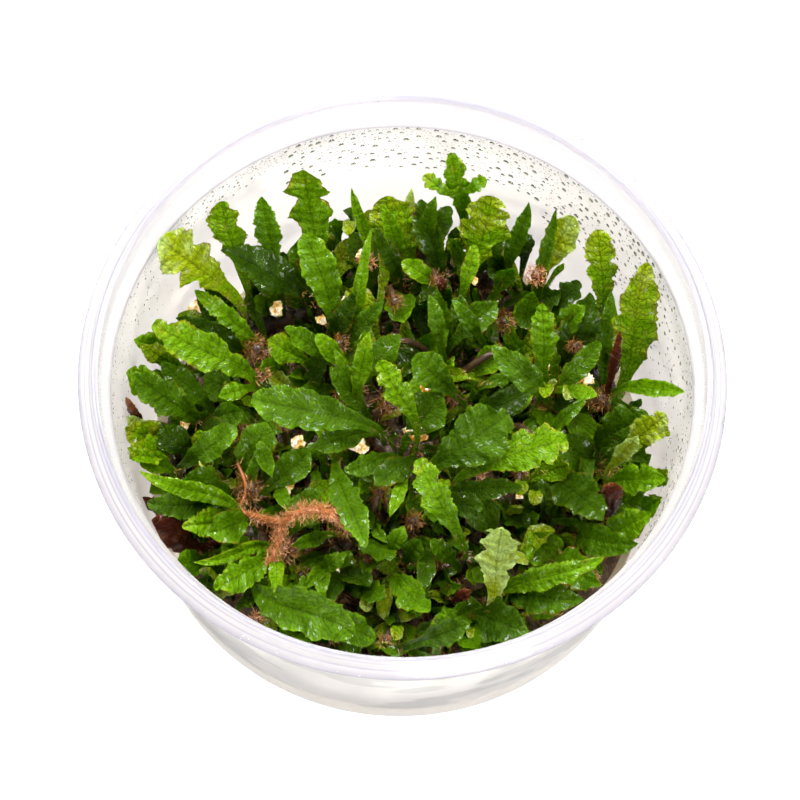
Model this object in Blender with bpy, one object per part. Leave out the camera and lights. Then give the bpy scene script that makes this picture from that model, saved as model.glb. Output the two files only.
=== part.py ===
"""Young broad leaf java fern on culture gel in a shallow round see-through cup.

Lengths are in millimetres until they reach a mesh. The origin is the middle of the cup's
foot, +Z is up, and the fern is seen from the front, -Y, looking steeply down.
"""

import math
import random
from collections import namedtuple

import bpy
import bmesh
from mathutils import Vector
from mathutils.bvhtree import BVHTree

MM = 0.001

# The cup, its lid seat and its drip rim
FOOT_RADIUS = 42.6
CUP_HEIGHT = 48.9
WALL = 0.8
FLOOR = 1.0
LEDGE_RADIUS = 46.0
LEDGE_HEIGHT = 42.6
SEAT_RADIUS = 47.4
RIDGE_RADIUS = 48.3
RIM_RADIUS = 51.0
RIM_HEIGHT = 46.6
CUP_SIDES = 36

# What fills the bottom of the cup: the gel, and on it a lumpy mat of tangled roots
GEL_TOP = 9.0
GEL_SIDES = 28
MAT_TOP = 12.0
MAT_LUMPS = 1.9
MAT_SIDES = 24
MAT_RINGS = (0.0, 8.0, 16.0, 24.0, 31.0, 37.0)

# What stands in the cup
GAP = 0.3
WALL_CLEARANCE = 0.6
RHIZOME_RADIUS = 1.7
RHIZOME_SIDES = 6
RHIZOME_STEPS = 8
STALK_WIDTH = 1.1
FROND_THICKNESS = 0.7
SPARE = 0.15

# The smallest fronds come up evenly all over the clump
SPROUTS = 56
SPROUT_REACH = 37.0
GOLDEN_TURN = math.pi * (3 - math.sqrt(5))

# A frond that meets another slides along this steep line until it is free
SLIDE_LINE = Vector((0.0, -0.413, 0.911))
SLIDES = (0.0, 0.7, -0.7, 1.4, -1.4, 2.1, -2.1, 2.8, -2.8, 3.5, -3.5, 4.5, -4.5, 5.5, -5.5)
ROOT_STEPS = (0.0, 1.6, -1.6, 3.2, -3.2, 4.8, -4.8)
NARROWER = (1.0, 0.85, 0.7)

# Blades turn their faces up and a little to the front
FACING = Vector((0.0, -0.35, 0.94))

# Widest place, bluntness of the tip, how deep the notches are, how far the edges stand
# above the midrib, and the sections from neck to tip
Form = namedtuple("Form", "widest blunt notch trough sections")
FORMS = {
    "blade": Form(0.42, 0.80, 0.00, 0.22, 6),
    "spoon": Form(0.62, 0.45, 0.00, 0.26, 6),
    "toothed": Form(0.50, 0.60, 0.22, 0.20, 7),
    "lobed": Form(0.60, 0.38, 0.42, 0.16, 7),
    "slip": Form(0.42, 0.80, 0.00, 0.22, 4),
    "paddle": Form(0.62, 0.45, 0.00, 0.26, 4),
    "nicked": Form(0.52, 0.50, 0.28, 0.20, 5),
    "shred": Form(0.45, 0.50, 0.30, -0.25, 5),
    "sprout": Form(0.50, 0.70, 0.00, 0.25, 2),
}

TIP_PLACE = 0.96

# Colour and roughness of each shade of frond
SHADES = {
    "bright": ((0.125, 0.305, 0.012), 0.38),
    "mid": ((0.070, 0.205, 0.010), 0.40),
    "dark": ((0.026, 0.105, 0.008), 0.38),
    "yellow": ((0.270, 0.400, 0.020), 0.42),
    "pale": ((0.260, 0.390, 0.110), 0.45),
    "dead": ((0.052, 0.018, 0.010), 0.30),
}

# The creeping stems: points along the middle of each, with their ends down on the mat
RHIZOMES = {
    "A": [(-35, 9, 14), (-28, 19, 15), (-18, 24, 15), (-10, 27, 14)],
    "B": [(-4, 29, 14), (4, 31, 15.5), (12, 32.5, 15), (18, 31, 14)],
    "C": [(22.5, 27, 14), (28, 21, 15), (33, 12, 15.5), (35, 4, 14)],
    "D": [(36.5, -2, 14), (34, -9, 15.5), (33, -17, 15.5), (29.5, -22, 14)],
    "E": [(25, -25, 14), (18, -29, 15.5), (9, -32, 15.5), (1, -31, 14)],
    "F": [(-8, -32, 14), (-16, -26, 17), (-22, -20, 20.5), (-26.5, -13.5, 21)],
    "G": [(-38, -10, 14), (-36, -3, 16), (-32, 3, 16.5), (-26, 6, 14)],
    "H": [(-15, 12, 14), (-8, 6, 17), (-2, -2, 19), (5, -8, 18), (11, -9, 14)],
    "I": [(23, 7, 14), (15, 3, 17), (9, 8, 17.5), (6, 16, 14)],
    "J": [(-6, -17, 14), (3, -20, 16), (12, -20, 16.5), (19, -14, 14)],
}

Frond = namedtuple("Frond", "on form neck tip width bow roll shade")

# Grown fronds, each its own piece: rhizome, form, neck and tip of the blade, its width,
# how high it bows, its roll in degrees and its shade
GROWN = [
    Frond("A", "lobed", (-30, 18.5, 36), (-40, 21.5, 46), 8.5, 1.0, 0, "bright"),
    Frond("A", "lobed", (-28, 26, 30), (-31, 32, 40), 6.0, 0.6, 10, "bright"),
    Frond("A", "toothed", (-22, 26, 30), (-24.5, 33, 40), 4.2, 0.5, 15, "mid"),
    Frond("A", "lobed", (-15, 30, 26), (-18, 38.5, 40), 7.5, -0.8, 0, "bright"),
    Frond("H", "spoon", (-12, 18, 26), (-17, 28, 38), 5.8, 1.2, -10, "pale"),
    Frond("B", "spoon", (0, 31, 22), (-4.5, 38.5, 32), 8.0, 0.8, 0, "yellow"),
    Frond("B", "toothed", (5.5, 29, 24), (1.5, 37, 34), 5.0, 0.8, 20, "dark"),
    Frond("B", "lobed", (9, 37.5, 28), (6, 41.5, 43), 4.2, 0.5, 0, "bright"),
    Frond("B", "lobed", (11, 31, 24), (13.5, 37.5, 36), 8.6, 0.8, 0, "yellow"),
    Frond("C", "blade", (17, 31, 24), (19.5, 36.5, 36), 3.0, 0.4, 0, "mid"),
    Frond("C", "blade", (22, 24.5, 24), (24, 34.5, 38), 2.4, 0.4, 20, "mid"),
    Frond("C", "spoon", (23, 29.5, 26), (27, 34.5, 36), 5.6, 0.8, 0, "yellow"),
    Frond("C", "lobed", (32.5, 22, 30), (30.5, 29, 42), 5.6, 0.8, 0, "mid"),
    Frond("C", "blade", (27, 13, 24), (30, 21.5, 34), 6.2, 1.0, 0, "dark"),
    Frond("C", "toothed", (37, 11.5, 24), (38.5, 22.5, 44), 7.4, 1.0, 0, "bright"),
    Frond("D", "spoon", (36, 5.5, 32), (44.3, 0.5, 43), 2.8, 1.0, 0, "bright"),
    Frond("D", "lobed", (32.5, -1, 24), (39, 0.5, 34), 7.0, 1.0, 0, "dark"),
    Frond("D", "lobed", (37, -4.5, 30), (42, -2.5, 40), 5.0, 0.8, 10, "yellow"),
    Frond("D", "toothed", (35, -9, 27), (42, -12.5, 38), 5.0, 0.8, 0, "bright"),
    Frond("D", "toothed", (34.5, -18, 26), (40, -18.5, 38), 5.2, 1.0, 0, "bright"),
    Frond("D", "blade", (26.5, -7, 22), (33, -18, 32), 6.6, 1.2, 0, "dark"),
    Frond("D", "blade", (29.5, -18, 24), (38, -23, 36), 5.0, 1.2, 0, "mid"),
    Frond("E", "toothed", (18, -28, 26), (33, -25.5, 36), 3.8, 4.0, 0, "bright"),
    Frond("E", "blade", (26, -22, 24), (32.5, -29.5, 34), 6.0, 1.2, 0, "mid"),
    Frond("E", "blade", (18.5, -29, 26), (30, -32, 34), 5.6, 1.6, 0, "mid"),
    Frond("E", "lobed", (16, -31, 31), (16.5, -24, 43), 6.6, -1.0, 0, "pale"),
    Frond("E", "blade", (14, -31, 23), (21.5, -36, 30), 6.8, 1.2, 0, "dark"),
    Frond("F", "spoon", (-21.5, -30, 26), (-5.5, -41, 38), 7.2, 2.0, 0, "bright"),
    Frond("F", "lobed", (-19.5, -23.5, 24), (-28, -32.5, 33), 5.0, 1.2, 0, "bright"),
    Frond("F", "blade", (-20, -22, 24), (-31.5, -28.5, 33), 2.1, 1.2, 0, "bright"),
    Frond("F", "toothed", (-26, -17, 23), (-34, -21.5, 30), 4.8, 1.0, 0, "bright"),
    Frond("F", "toothed", (-26, -15.5, 24), (-40, -18, 31), 5.2, 1.5, 0, "mid"),
    Frond("F", "blade", (-26, -16, 26), (-41, -15, 37), 2.9, 1.2, 0, "bright"),
    Frond("G", "toothed", (-33.5, -1, 26), (-43.5, 1.5, 38), 5.6, 1.0, 0, "mid"),
    Frond("G", "lobed", (-25, 6.5, 28), (-40.5, 10, 39), 6.4, 1.5, 0, "bright"),
    Frond("A", "toothed", (-25.5, 14, 27), (-34.5, 17.5, 36), 3.2, 1.0, 0, "bright"),
    Frond("H", "spoon", (-6, -3, 32), (-24, -2, 38), 6.6, 1.8, 0, "bright"),
    Frond("H", "lobed", (2, -0.5, 30), (-4, 5.5, 38), 4.6, 1.0, 0, "bright"),
    Frond("I", "spoon", (8, 4.5, 30), (1.5, 7.5, 36), 5.6, 0.8, 0, "mid"),
    Frond("H", "lobed", (6.5, -9.5, 33), (17, -3.5, 40), 9.6, 1.2, 0, "bright"),
    Frond("H", "lobed", (14, -10, 34), (26.5, -7.5, 40), 7.0, 1.0, 0, "bright"),
    Frond("J", "lobed", (9.5, -20.5, 32), (3, -12, 40), 5.2, 0.8, 0, "bright"),
    Frond("I", "blade", (23, 5.5, 28), (14, 10.5, 35), 4.6, 1.2, 0, "mid"),
    Frond("I", "toothed", (23, 10.5, 28), (22, 17.5, 37), 4.6, 0.6, 0, "bright"),
    Frond("H", "toothed", (-10, -10.5, 30), (-4.5, -26, 36), 4.8, 1.5, 0, "mid"),
]

# Young fronds, each one piece with its rhizome
YOUNG = [
    Frond("A", "slip", (-18, 24, 24), (-31, 27, 31), 7.5, 1.5, -20, "dark"),
    Frond("A", "slip", (-6.5, 31, 26), (-10, 37.5, 37), 1.9, 0.4, 0, "bright"),
    Frond("H", "slip", (-9, 15, 24), (-6.5, 28, 40), 2.2, 0.6, 0, "bright"),
    Frond("B", "slip", (-0.5, 33, 24), (0, 38.5, 36), 2.6, 0.4, 15, "pale"),
    Frond("C", "slip", (33.5, 11.5, 22), (33.5, 21.5, 34), 3.6, 0.6, 0, "mid"),
    Frond("D", "paddle", (35, -6, 28), (38, -4.5, 36), 3.0, 0.4, 0, "pale"),
    Frond("G", "slip", (-37, -10, 26), (-43.5, -10, 34), 3.4, 0.6, 0, "bright"),
    Frond("A", "slip", (-27, 12, 25), (-37, 13.5, 34), 4.0, 0.8, 0, "dark"),
    Frond("G", "nicked", (-38, -4.5, 24), (-43.5, -5, 34), 4.0, 0.6, 0, "yellow"),
    Frond("G", "paddle", (-34.5, -9, 26), (-26.5, -5.5, 34), 4.6, 0.8, 0, "mid"),
    Frond("B", "paddle", (9.5, 24, 28), (11, 29, 34), 2.8, 0.4, 0, "bright"),
    Frond("B", "paddle", (4.5, 25, 28), (-1, 26, 33), 3.4, 0.6, 0, "bright"),
    Frond("E", "nicked", (0, -27, 26), (6, -34.5, 32), 5.0, 0.8, 0, "mid"),
    Frond("E", "paddle", (7.5, -39, 32), (8, -36.5, 38), 3.0, 0.3, 0, "bright"),
    Frond("H", "paddle", (-9.5, 8, 30), (-14.5, 10.5, 36), 3.2, 0.5, 0, "bright"),
    Frond("H", "paddle", (-7, 5.5, 28), (-6.5, 11.5, 36), 2.4, 0.4, 0, "bright"),
    Frond("H", "nicked", (-13.5, 11, 28), (-19.5, 12.5, 34), 3.6, 0.5, 0, "mid"),
    Frond("G", "paddle", (-30, -1.5, 28), (-25.5, -1.5, 32), 4.2, 0.5, 0, "mid"),
    Frond("G", "nicked", (-32, 2, 26), (-39, 5.5, 34), 4.0, 0.6, 0, "mid"),
    Frond("A", "nicked", (-36.5, 7, 28), (-42.5, 7.5, 36), 3.6, 0.5, 0, "yellow"),
    Frond("H", "slip", (-10, 14.5, 24), (-3.5, 19.5, 32), 3.0, 0.6, 0, "dark"),
    Frond("A", "slip", (-12.5, 15.5, 24), (-8, 20.5, 32), 3.6, 0.6, 0, "dark"),
    Frond("I", "slip", (7, 17, 22), (5, 23, 30), 3.0, 0.5, 0, "mid"),
    Frond("B", "slip", (-1.5, 28, 24), (-6, 32.5, 32), 3.2, 0.6, 0, "dark"),
    Frond("I", "slip", (9.5, 17.5, 22), (9.0, 23, 28), 3.4, 0.5, 0, "dark"),
    Frond("C", "nicked", (26, 8, 26), (32, 13.5, 32), 4.0, 0.6, 0, "mid"),
    Frond("I", "paddle", (27, 6, 29), (31.5, 3.5, 33), 2.6, 0.4, 0, "bright"),
    Frond("H", "nicked", (-6, -2.5, 27), (-13.5, -7.5, 32), 4.4, 0.6, 0, "mid"),
    Frond("H", "nicked", (-2.5, -7, 28), (-8.5, -11.5, 32), 3.6, 0.6, 0, "mid"),
    Frond("H", "slip", (1, -10.5, 28), (-1, -18.5, 32), 2.2, 0.5, 0, "bright"),
    Frond("H", "nicked", (7, -12.5, 24), (14, -15, 28), 4.2, 0.6, 0, "dark"),
    Frond("H", "nicked", (8.5, -12, 27), (20, -12.5, 32), 3.6, 0.8, 0, "mid"),
    Frond("F", "slip", (-8.5, -25, 22), (-11, -33.5, 28), 2.8, 0.6, 0, "dark"),
    Frond("J", "slip", (-8, -25.5, 22), (-3.5, -32, 28), 3.4, 0.6, 0, "dark"),
    Frond("J", "slip", (-11.5, -19.5, 24), (-16.5, -23, 28), 2.4, 0.4, 0, "mid"),
    Frond("F", "paddle", (-11.5, -32.5, 24), (-2, -39.5, 32), 5.0, 0.8, 0, "mid"),
    Frond("E", "nicked", (5, -37.5, 28), (12, -36.5, 34), 4.2, 0.5, 0, "pale"),
    Frond("F", "slip", (-31, -24, 22), (-35, -28, 30), 4.2, 0.5, 0, "mid"),
    Frond("F", "nicked", (-21.5, -9.5, 26), (-22.5, -6, 30), 2.6, 0.4, 0, "mid"),
    Frond("F", "slip", (-24.5, -14, 24), (-23, -7.5, 30), 2.0, 0.4, 0, "mid"),
    Frond("G", "paddle", (-34, -6.5, 26), (-38.5, -5, 31), 5.0, 0.6, 0, "dark"),
    Frond("G", "slip", (-25.5, 3.5, 29), (-29.5, 0.5, 32), 3.0, 0.5, 0, "bright"),
    Frond("J", "paddle", (2, -23, 24), (4, -22, 30), 3.6, 0.4, 0, "dark"),
]

# Dead fronds: the dark one lies on the wall at the front left, the red one stands at the right
DEAD = [
    Frond("F", "shred", (-32, -21.5, 21), (-39, -20.5, 30), 5.6, 0.6, 0, "dead"),
    Frond("D", "shred", (34.5, -15.5, 29), (34, -13, 36), 4.2, 0.4, 0, "dead"),
]


def shade_material(shade):
    """The Principled material of one shade of frond, made when it is first asked for."""
    colour, roughness = SHADES[shade]
    return plain_material("frond " + shade, colour, roughness)


def plain_material(name, colour, roughness, alpha=1.0):
    """A plain Principled material, made when it is first asked for."""
    material = bpy.data.materials.get(name)
    if material:
        return material
    material = bpy.data.materials.new(name)
    material.use_nodes = True
    shader = material.node_tree.nodes["Principled BSDF"]
    shader.inputs["Base Color"].default_value = (*colour, 1.0)
    shader.inputs["Roughness"].default_value = roughness
    shader.inputs["Metallic"].default_value = 0.0
    shader.inputs["Alpha"].default_value = alpha
    return material


def add_solid(name, points, faces, material):
    """One named object from points in millimetres, with its faces turned outwards."""
    mesh = bpy.data.meshes.new(name)
    mesh.from_pydata([Vector(p) * MM for p in points], [], faces)
    builder = bmesh.new()
    builder.from_mesh(mesh)
    bmesh.ops.recalc_face_normals(builder, faces=builder.faces)
    bmesh.ops.triangulate(builder, faces=builder.faces)
    builder.to_mesh(mesh)
    builder.free()
    mesh.materials.append(material)
    solid = bpy.data.objects.new(name, mesh)
    bpy.context.scene.collection.objects.link(solid)
    return solid


def turned_solid(name, profile, sides, material):
    """A solid of revolution. The profile starts and ends on the axis."""
    builder = bmesh.new()
    corners = [builder.verts.new((r * MM, 0.0, z * MM)) for r, z in profile]
    edges = [builder.edges.new(pair) for pair in zip(corners, corners[1:])]
    bmesh.ops.spin(builder, geom=corners + edges, cent=(0, 0, 0), axis=(0, 0, 1),
                   angle=math.tau, steps=sides, use_merge=True)
    bmesh.ops.remove_doubles(builder, verts=builder.verts, dist=1e-6)
    bmesh.ops.recalc_face_normals(builder, faces=builder.faces)
    mesh = bpy.data.meshes.new(name)
    builder.to_mesh(mesh)
    builder.free()
    mesh.shade_smooth()
    mesh.set_sharp_from_angle(angle=math.radians(35))
    mesh.materials.append(material)
    solid = bpy.data.objects.new(name, mesh)
    bpy.context.scene.collection.objects.link(solid)
    return solid


def cup_profile():
    """The cup's section: up the inside from the middle of the floor, and down the outside."""
    inside = [
        (0.0, FLOOR),
        (FOOT_RADIUS - 2.6, FLOOR),
        (FOOT_RADIUS - WALL, FLOOR + 2.4),
        (LEDGE_RADIUS, LEDGE_HEIGHT),
        (SEAT_RADIUS, LEDGE_HEIGHT + 2.2),
        (SEAT_RADIUS + 0.3, CUP_HEIGHT - 0.5),
        (RIDGE_RADIUS, CUP_HEIGHT),
    ]
    outside = [
        (RIDGE_RADIUS + 0.7, CUP_HEIGHT - 0.7),
        (RIM_RADIUS, RIM_HEIGHT + 0.3),
        (RIM_RADIUS - 0.3, RIM_HEIGHT - 0.3),
        (SEAT_RADIUS + 1.1, CUP_HEIGHT - 1.9),
        (SEAT_RADIUS + 0.8, LEDGE_HEIGHT + 1.6),
        (LEDGE_RADIUS + WALL, LEDGE_HEIGHT - 0.6),
        (FOOT_RADIUS, 2.8),
        (FOOT_RADIUS - 2.0, 0.0),
        (0.0, 0.0),
    ]
    return inside + outside


def wall_radius(height):
    """The radius of the cup's inside at a height."""
    profile = [(z, r) for r, z in cup_profile()[1:6]]
    for (low, narrow), (high, wide) in zip(profile, profile[1:]):
        if height <= high:
            share = (height - low) / (high - low)
            return narrow + (wide - narrow) * max(share, 0.0)
    return profile[-1][1]


def gel_profile():
    """The gel fills the bottom of the cup, a gap clear of its floor and wall."""
    heights = (FLOOR + GAP, FLOOR + 2.4, GEL_TOP)
    edge = [(wall_radius(z) - 2 * GAP, z) for z in reversed(heights)]
    return [(0.0, GEL_TOP)] + edge + [(0.0, FLOOR + GAP)]


def mat_skin():
    """Points and faces of the root mat: a lumpy top over a flat bottom on the gel."""
    chance = random.Random(12)
    points = [(0.0, 0.0, MAT_TOP)]
    for radius in MAT_RINGS[1:]:
        for k in range(MAT_SIDES):
            turn = math.tau * k / MAT_SIDES
            out = radius + chance.uniform(-1.2, 1.2)
            drop = chance.uniform(0, MAT_LUMPS)
            points.append((out * math.cos(turn), out * math.sin(turn), MAT_TOP - drop))
    edge = len(points)
    for k in range(MAT_SIDES):
        turn = math.tau * k / MAT_SIDES
        out = wall_radius(GEL_TOP) - chance.uniform(1.2, 3.2)
        points.append((out * math.cos(turn), out * math.sin(turn), GEL_TOP + GAP))

    faces = [(0, 1 + k, 1 + (k + 1) % MAT_SIDES) for k in range(MAT_SIDES)]
    for first in range(1, edge, MAT_SIDES):
        for k in range(MAT_SIDES):
            here, beside = first + k, first + (k + 1) % MAT_SIDES
            faces.append((here, here + MAT_SIDES, beside + MAT_SIDES, beside))
    faces.append(tuple(reversed(range(edge, edge + MAT_SIDES))))
    return points, faces


def smooth_point(points, place):
    """A point on the smooth curve through points, at a place from 0 to 1."""
    last = len(points) - 1
    reach = min(max(place, 0.0), 1.0) * last
    start = min(int(reach), last - 1)
    t = reach - start
    before, a, b, after = (Vector(points[min(max(start + k, 0), last)]) for k in (-1, 0, 1, 2))
    rise = (b - before) * 0.5
    fall = (after - a) * 0.5
    return ((2 * t**3 - 3 * t**2 + 1) * a + (t**3 - 2 * t**2 + t) * rise
            + (3 * t**2 - 2 * t**3) * b + (t**3 - t**2) * fall)


def loft(rings):
    """Points and faces of a closed skin through rings of equal count, capped at both ends."""
    count = len(rings[0])
    points = [point for ring in rings for point in ring]
    faces = []
    for row in range(len(rings) - 1):
        for k in range(count):
            here, beside = row * count + k, row * count + (k + 1) % count
            faces.append((here, beside, beside + count, here + count))
    faces.append(tuple(reversed(range(count))))
    faces.append(tuple(range(len(points) - count, len(points))))
    return points, faces


def rhizome_rings(path, seed):
    """A lumpy round stem along a path, drawn in to a blunt end each way."""
    chance = random.Random(seed)
    rings = []
    for step in range(RHIZOME_STEPS + 1):
        place = step / RHIZOME_STEPS
        middle = smooth_point(path, place)
        ahead = smooth_point(path, place + 0.02) - smooth_point(path, place - 0.02)
        across = ahead.cross(Vector((0, 0, 1))).normalized()
        over = across.cross(ahead).normalized()
        blunt = 0.45 if step in (0, RHIZOME_STEPS) else 1.0
        radius = RHIZOME_RADIUS * blunt * chance.uniform(0.85, 1.0)
        turns = [math.tau * k / RHIZOME_SIDES for k in range(RHIZOME_SIDES)]
        rings.append([middle + radius * (across * math.cos(a) + over * math.sin(a)) for a in turns])
    return rings


def half_width(form, place, width):
    """Half the blade's width at a place from its neck, 0, to its tip, 1."""
    shape = FORMS[form]
    if place < shape.widest:
        swell = math.sin(0.5 * math.pi * place / shape.widest) ** 1.2
    else:
        swell = max(math.cos(0.5 * math.pi * (place - shape.widest) / (1 - shape.widest)), 0) ** shape.blunt
    wave = 0.5 + 0.5 * math.cos(math.pi * (place * shape.sections - 1))
    swell *= 1 - shape.notch * (1 - wave)
    return STALK_WIDTH / 2 + (width - STALK_WIDTH) / 2 * swell


def blade_places(form):
    """Where the blade's sections stand, so that each lobe and each notch has one."""
    count = FORMS[form].sections
    return [k / count for k in range(1, count)] + [TIP_PLACE]


def nearest_place(path, target):
    """The place on a rhizome nearest to a point, seen from above."""
    places = [k / 40 for k in range(41)]
    return min(places, key=lambda p: (smooth_point(path, p).xy - target.xy).length)


def through_four(points, knots, t):
    """A point on the even curve that meets four points at their knots."""
    spot = Vector()
    for i, point in enumerate(points):
        weight = 1.0
        for j, knot in enumerate(knots):
            if j != i:
                weight *= (t - knot) / (knots[i] - knot)
        spot += weight * point
    return spot


def knots_of(points):
    """Where four points lie along their curve, 0 to 1, by the straight lines between them."""
    legs = [(b - a).length for a, b in zip(points, points[1:])]
    return [sum(legs[:k]) / sum(legs) for k in range(4)]


def frond_rings(frond, slide, root_step, narrower, fused, spare):
    """The sections of one frond, from its foot on the rhizome to its tip."""
    path = RHIZOMES[frond.on]
    shift = SLIDE_LINE * slide
    neck = Vector(frond.neck) + shift
    tip = Vector(frond.tip) + shift
    run = sum((Vector(b) - Vector(a)).length for a, b in zip(path, path[1:]))
    place = nearest_place(path, neck - (tip - neck) * 0.3) + root_step / run
    foot = smooth_point(path, min(max(place, 0.04), 0.96))
    foot.z += RHIZOME_RADIUS * 0.4 if fused else RHIZOME_RADIUS + GAP + 0.1

    along = (tip - neck).normalized()
    side = along.cross(FACING).normalized()
    over = side.cross(along)
    turn = math.radians(frond.roll)
    side, over = side * math.cos(turn) + over * math.sin(turn), over * math.cos(turn) - side * math.sin(turn)
    route = [foot, neck, (neck + tip) / 2 + over * frond.bow, tip]
    knots = knots_of(route)
    blade_start = knots[1]
    stops = [(0.0, 0.0)] if fused else [(0.0, 0.0), (0.5 * blade_start, 0.0)]
    stops += [(blade_start + (1 - blade_start) * s, s) for s in [0.0] + blade_places(frond.form)]
    rings = []
    for at, s in stops:
        here = through_four(route, knots, at)
        ahead = (through_four(route, knots, at + 0.01) - through_four(route, knots, at - 0.01)).normalized()
        wide = (side - ahead * side.dot(ahead)).normalized()
        up = wide.cross(ahead)
        half = half_width(frond.form, s, frond.width * narrower) if s else STALK_WIDTH / 2
        thick = FROND_THICKNESS / 2 * (1 - 0.5 * s) + spare
        edge = up * FORMS[frond.form].trough * half * (s > 0)
        ring = [here - wide * (half + spare) + edge, here + wide * (half + spare) + edge, here - up * thick]
        if not fused:
            ring.insert(1, here + up * thick)
        rings.append(within_wall(ring))
    return rings


def above_foot(rings):
    """The sections of a shoot without the part of its stalk that stands in the rhizome."""
    return [[low.lerp(high, 0.2) for low, high in zip(*rings[:2])]] + rings[1:]


def within_wall(ring):
    """The same section, moved in towards the axis where it would reach the cup's wall."""
    over = max(math.hypot(p.x, p.y) - wall_radius(p.z) + WALL_CLEARANCE for p in ring)
    if over <= 0:
        return ring
    middle = sum(ring, Vector()) / len(ring)
    inwards = -Vector((middle.x, middle.y, 0.0)).normalized() * over
    return [p + inwards for p in ring]


def tree_of(rings):
    """The search tree that says whether two skins cross."""
    points, faces = loft(rings)
    return BVHTree.FromPolygons(points, faces)


def free_rings(frond, fused, solids):
    """The sections of a frond in the first place where it meets nothing, or None."""
    moves = [(abs(slide) + 0.4 * abs(step) + 4 * (1 - narrower), slide, step, narrower)
             for slide in SLIDES for step in ROOT_STEPS for narrower in NARROWER]
    for _, slide, step, narrower in sorted(moves, key=lambda move: move[0]):
        wide = frond_rings(frond, slide, step, narrower, fused, SPARE)
        if min(p.z for ring in wide for p in ring) < MAT_TOP + GAP:
            continue
        tree = tree_of(wide)
        if not any(tree.overlap(other) for other in solids):
            return frond_rings(frond, slide, step, narrower, fused, 0.0)
    return None


def add_frond(name, frond, solids):
    """One grown or dead frond as a solid of its own."""
    rings = free_rings(frond, False, solids)
    if rings is None:
        print(name, "finds no free place")
        return
    solids.append(tree_of(rings))
    add_solid(name, *loft(rings), shade_material(frond.shade))


def sprout(number):
    """One of the smallest fronds, rooted on the rhizome that lies nearest to its spot."""
    chance = random.Random(number)
    turn = number * GOLDEN_TURN
    out = SPROUT_REACH * math.sqrt((number + 0.5) / SPROUTS)
    spot = Vector((out * math.cos(turn), out * math.sin(turn), 0.0))
    feet = {key: smooth_point(path, nearest_place(path, spot)) for key, path in RHIZOMES.items()}
    key = min(feet, key=lambda k: (feet[k].xy - spot.xy).length)
    foot = feet[key]
    lean = Vector((spot.x - foot.x, spot.y - foot.y, 0.0))
    if lean.length < 2.0:
        lean = Vector((spot.x, spot.y, 0.0)).normalized() * 2.0
    neck = foot + lean * 0.5
    neck.z = foot.z + chance.uniform(4.0, 8.0)
    tip = neck + lean.normalized() * chance.uniform(5.5, 8.0)
    tip.z = neck.z + chance.uniform(3.0, 6.0)
    shade = chance.choice(("dark", "mid", "mid", "bright"))
    return Frond(key, "sprout", tuple(neck), tuple(tip), chance.uniform(4.4, 6.4), 0.5, 0, shade)


def add_rhizome(key, number, young, solids):
    """One creeping stem, with its young fronds joined to it."""
    name = f"rhizome_{number:02d}"
    stem = add_solid(name, *loft(rhizome_rings(RHIZOMES[key], number)),
                     plain_material("rhizome skin", (0.022, 0.012, 0.007), 0.35))
    others = [tree for owner, tree in solids if owner != key]
    shoots = bpy.data.collections.new(name + "_shoots")
    bpy.context.scene.collection.children.link(shoots)
    own = []
    for count, frond in enumerate(young):
        rings = free_rings(frond, True, others)
        if rings is None:
            print(name, "shoot", count, "finds no free place")
            continue
        upper = tree_of(above_foot(rings))
        own.append((key, upper))
        others.append(upper)
        shoot = add_solid(f"{name}_shoot_{count}", *loft(rings), shade_material(frond.shade))
        bpy.context.scene.collection.objects.unlink(shoot)
        shoots.objects.link(shoot)
        shoot.hide_render = True
        shoot.display_type = "WIRE"
    solids.extend(own)
    if own:
        joint = stem.modifiers.new("joined shoots", "BOOLEAN")
        joint.operation = "UNION"
        joint.operand_type = "COLLECTION"
        joint.collection = shoots
        joint.solver = "EXACT"


def clear_scene():
    for old in list(bpy.data.objects):
        bpy.data.objects.remove(old)


def build():
    clear_scene()
    clear_plastic = plain_material("clear cup plastic", (0.86, 0.87, 0.90), 0.12, alpha=0.25)
    gel_jelly = plain_material("culture gel", (0.80, 0.74, 0.55), 0.20)
    turned_solid("cup", cup_profile(), CUP_SIDES, clear_plastic)
    turned_solid("culture_gel", gel_profile(), GEL_SIDES, gel_jelly)
    add_solid("root_mat", *mat_skin(), plain_material("tangled roots", (0.030, 0.017, 0.009), 0.55))

    stems = {key: tree_of(rhizome_rings(path, number))
             for number, (key, path) in enumerate(RHIZOMES.items(), start=1)}
    placed = list(stems.values())
    for number, frond in enumerate(GROWN, start=1):
        add_frond(f"frond_{number:02d}", frond, placed)
    for number, frond in enumerate(DEAD, start=1):
        add_frond(f"dead_frond_{number}", frond, placed)
    owned = list(stems.items()) + [("grown", tree) for tree in placed[len(stems):]]
    young = YOUNG + [sprout(number) for number in range(SPROUTS)]
    for number, key in enumerate(RHIZOMES, start=1):
        add_rhizome(key, number, [frond for frond in young if frond.on == key], owned)


build()
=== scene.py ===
# %% [markdown]
# # Broad leaf java fern, grown in culture, in its cup
#
# The real thing is a clump of very young ferns that were raised on a sterile jelly in a
# small clear cup. The fronds are thin, puckered and wet, and they stand so close that the
# light between them turns brown. This lesson dresses a model whose sizes are already
# fixed: the plain solids are loaded first, and every finer piece is built over them.

# %% The fixed frame
import itertools
import math
import random
from collections import namedtuple

import bpy
import numpy as np
from mathutils import Matrix, Vector, noise


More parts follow.
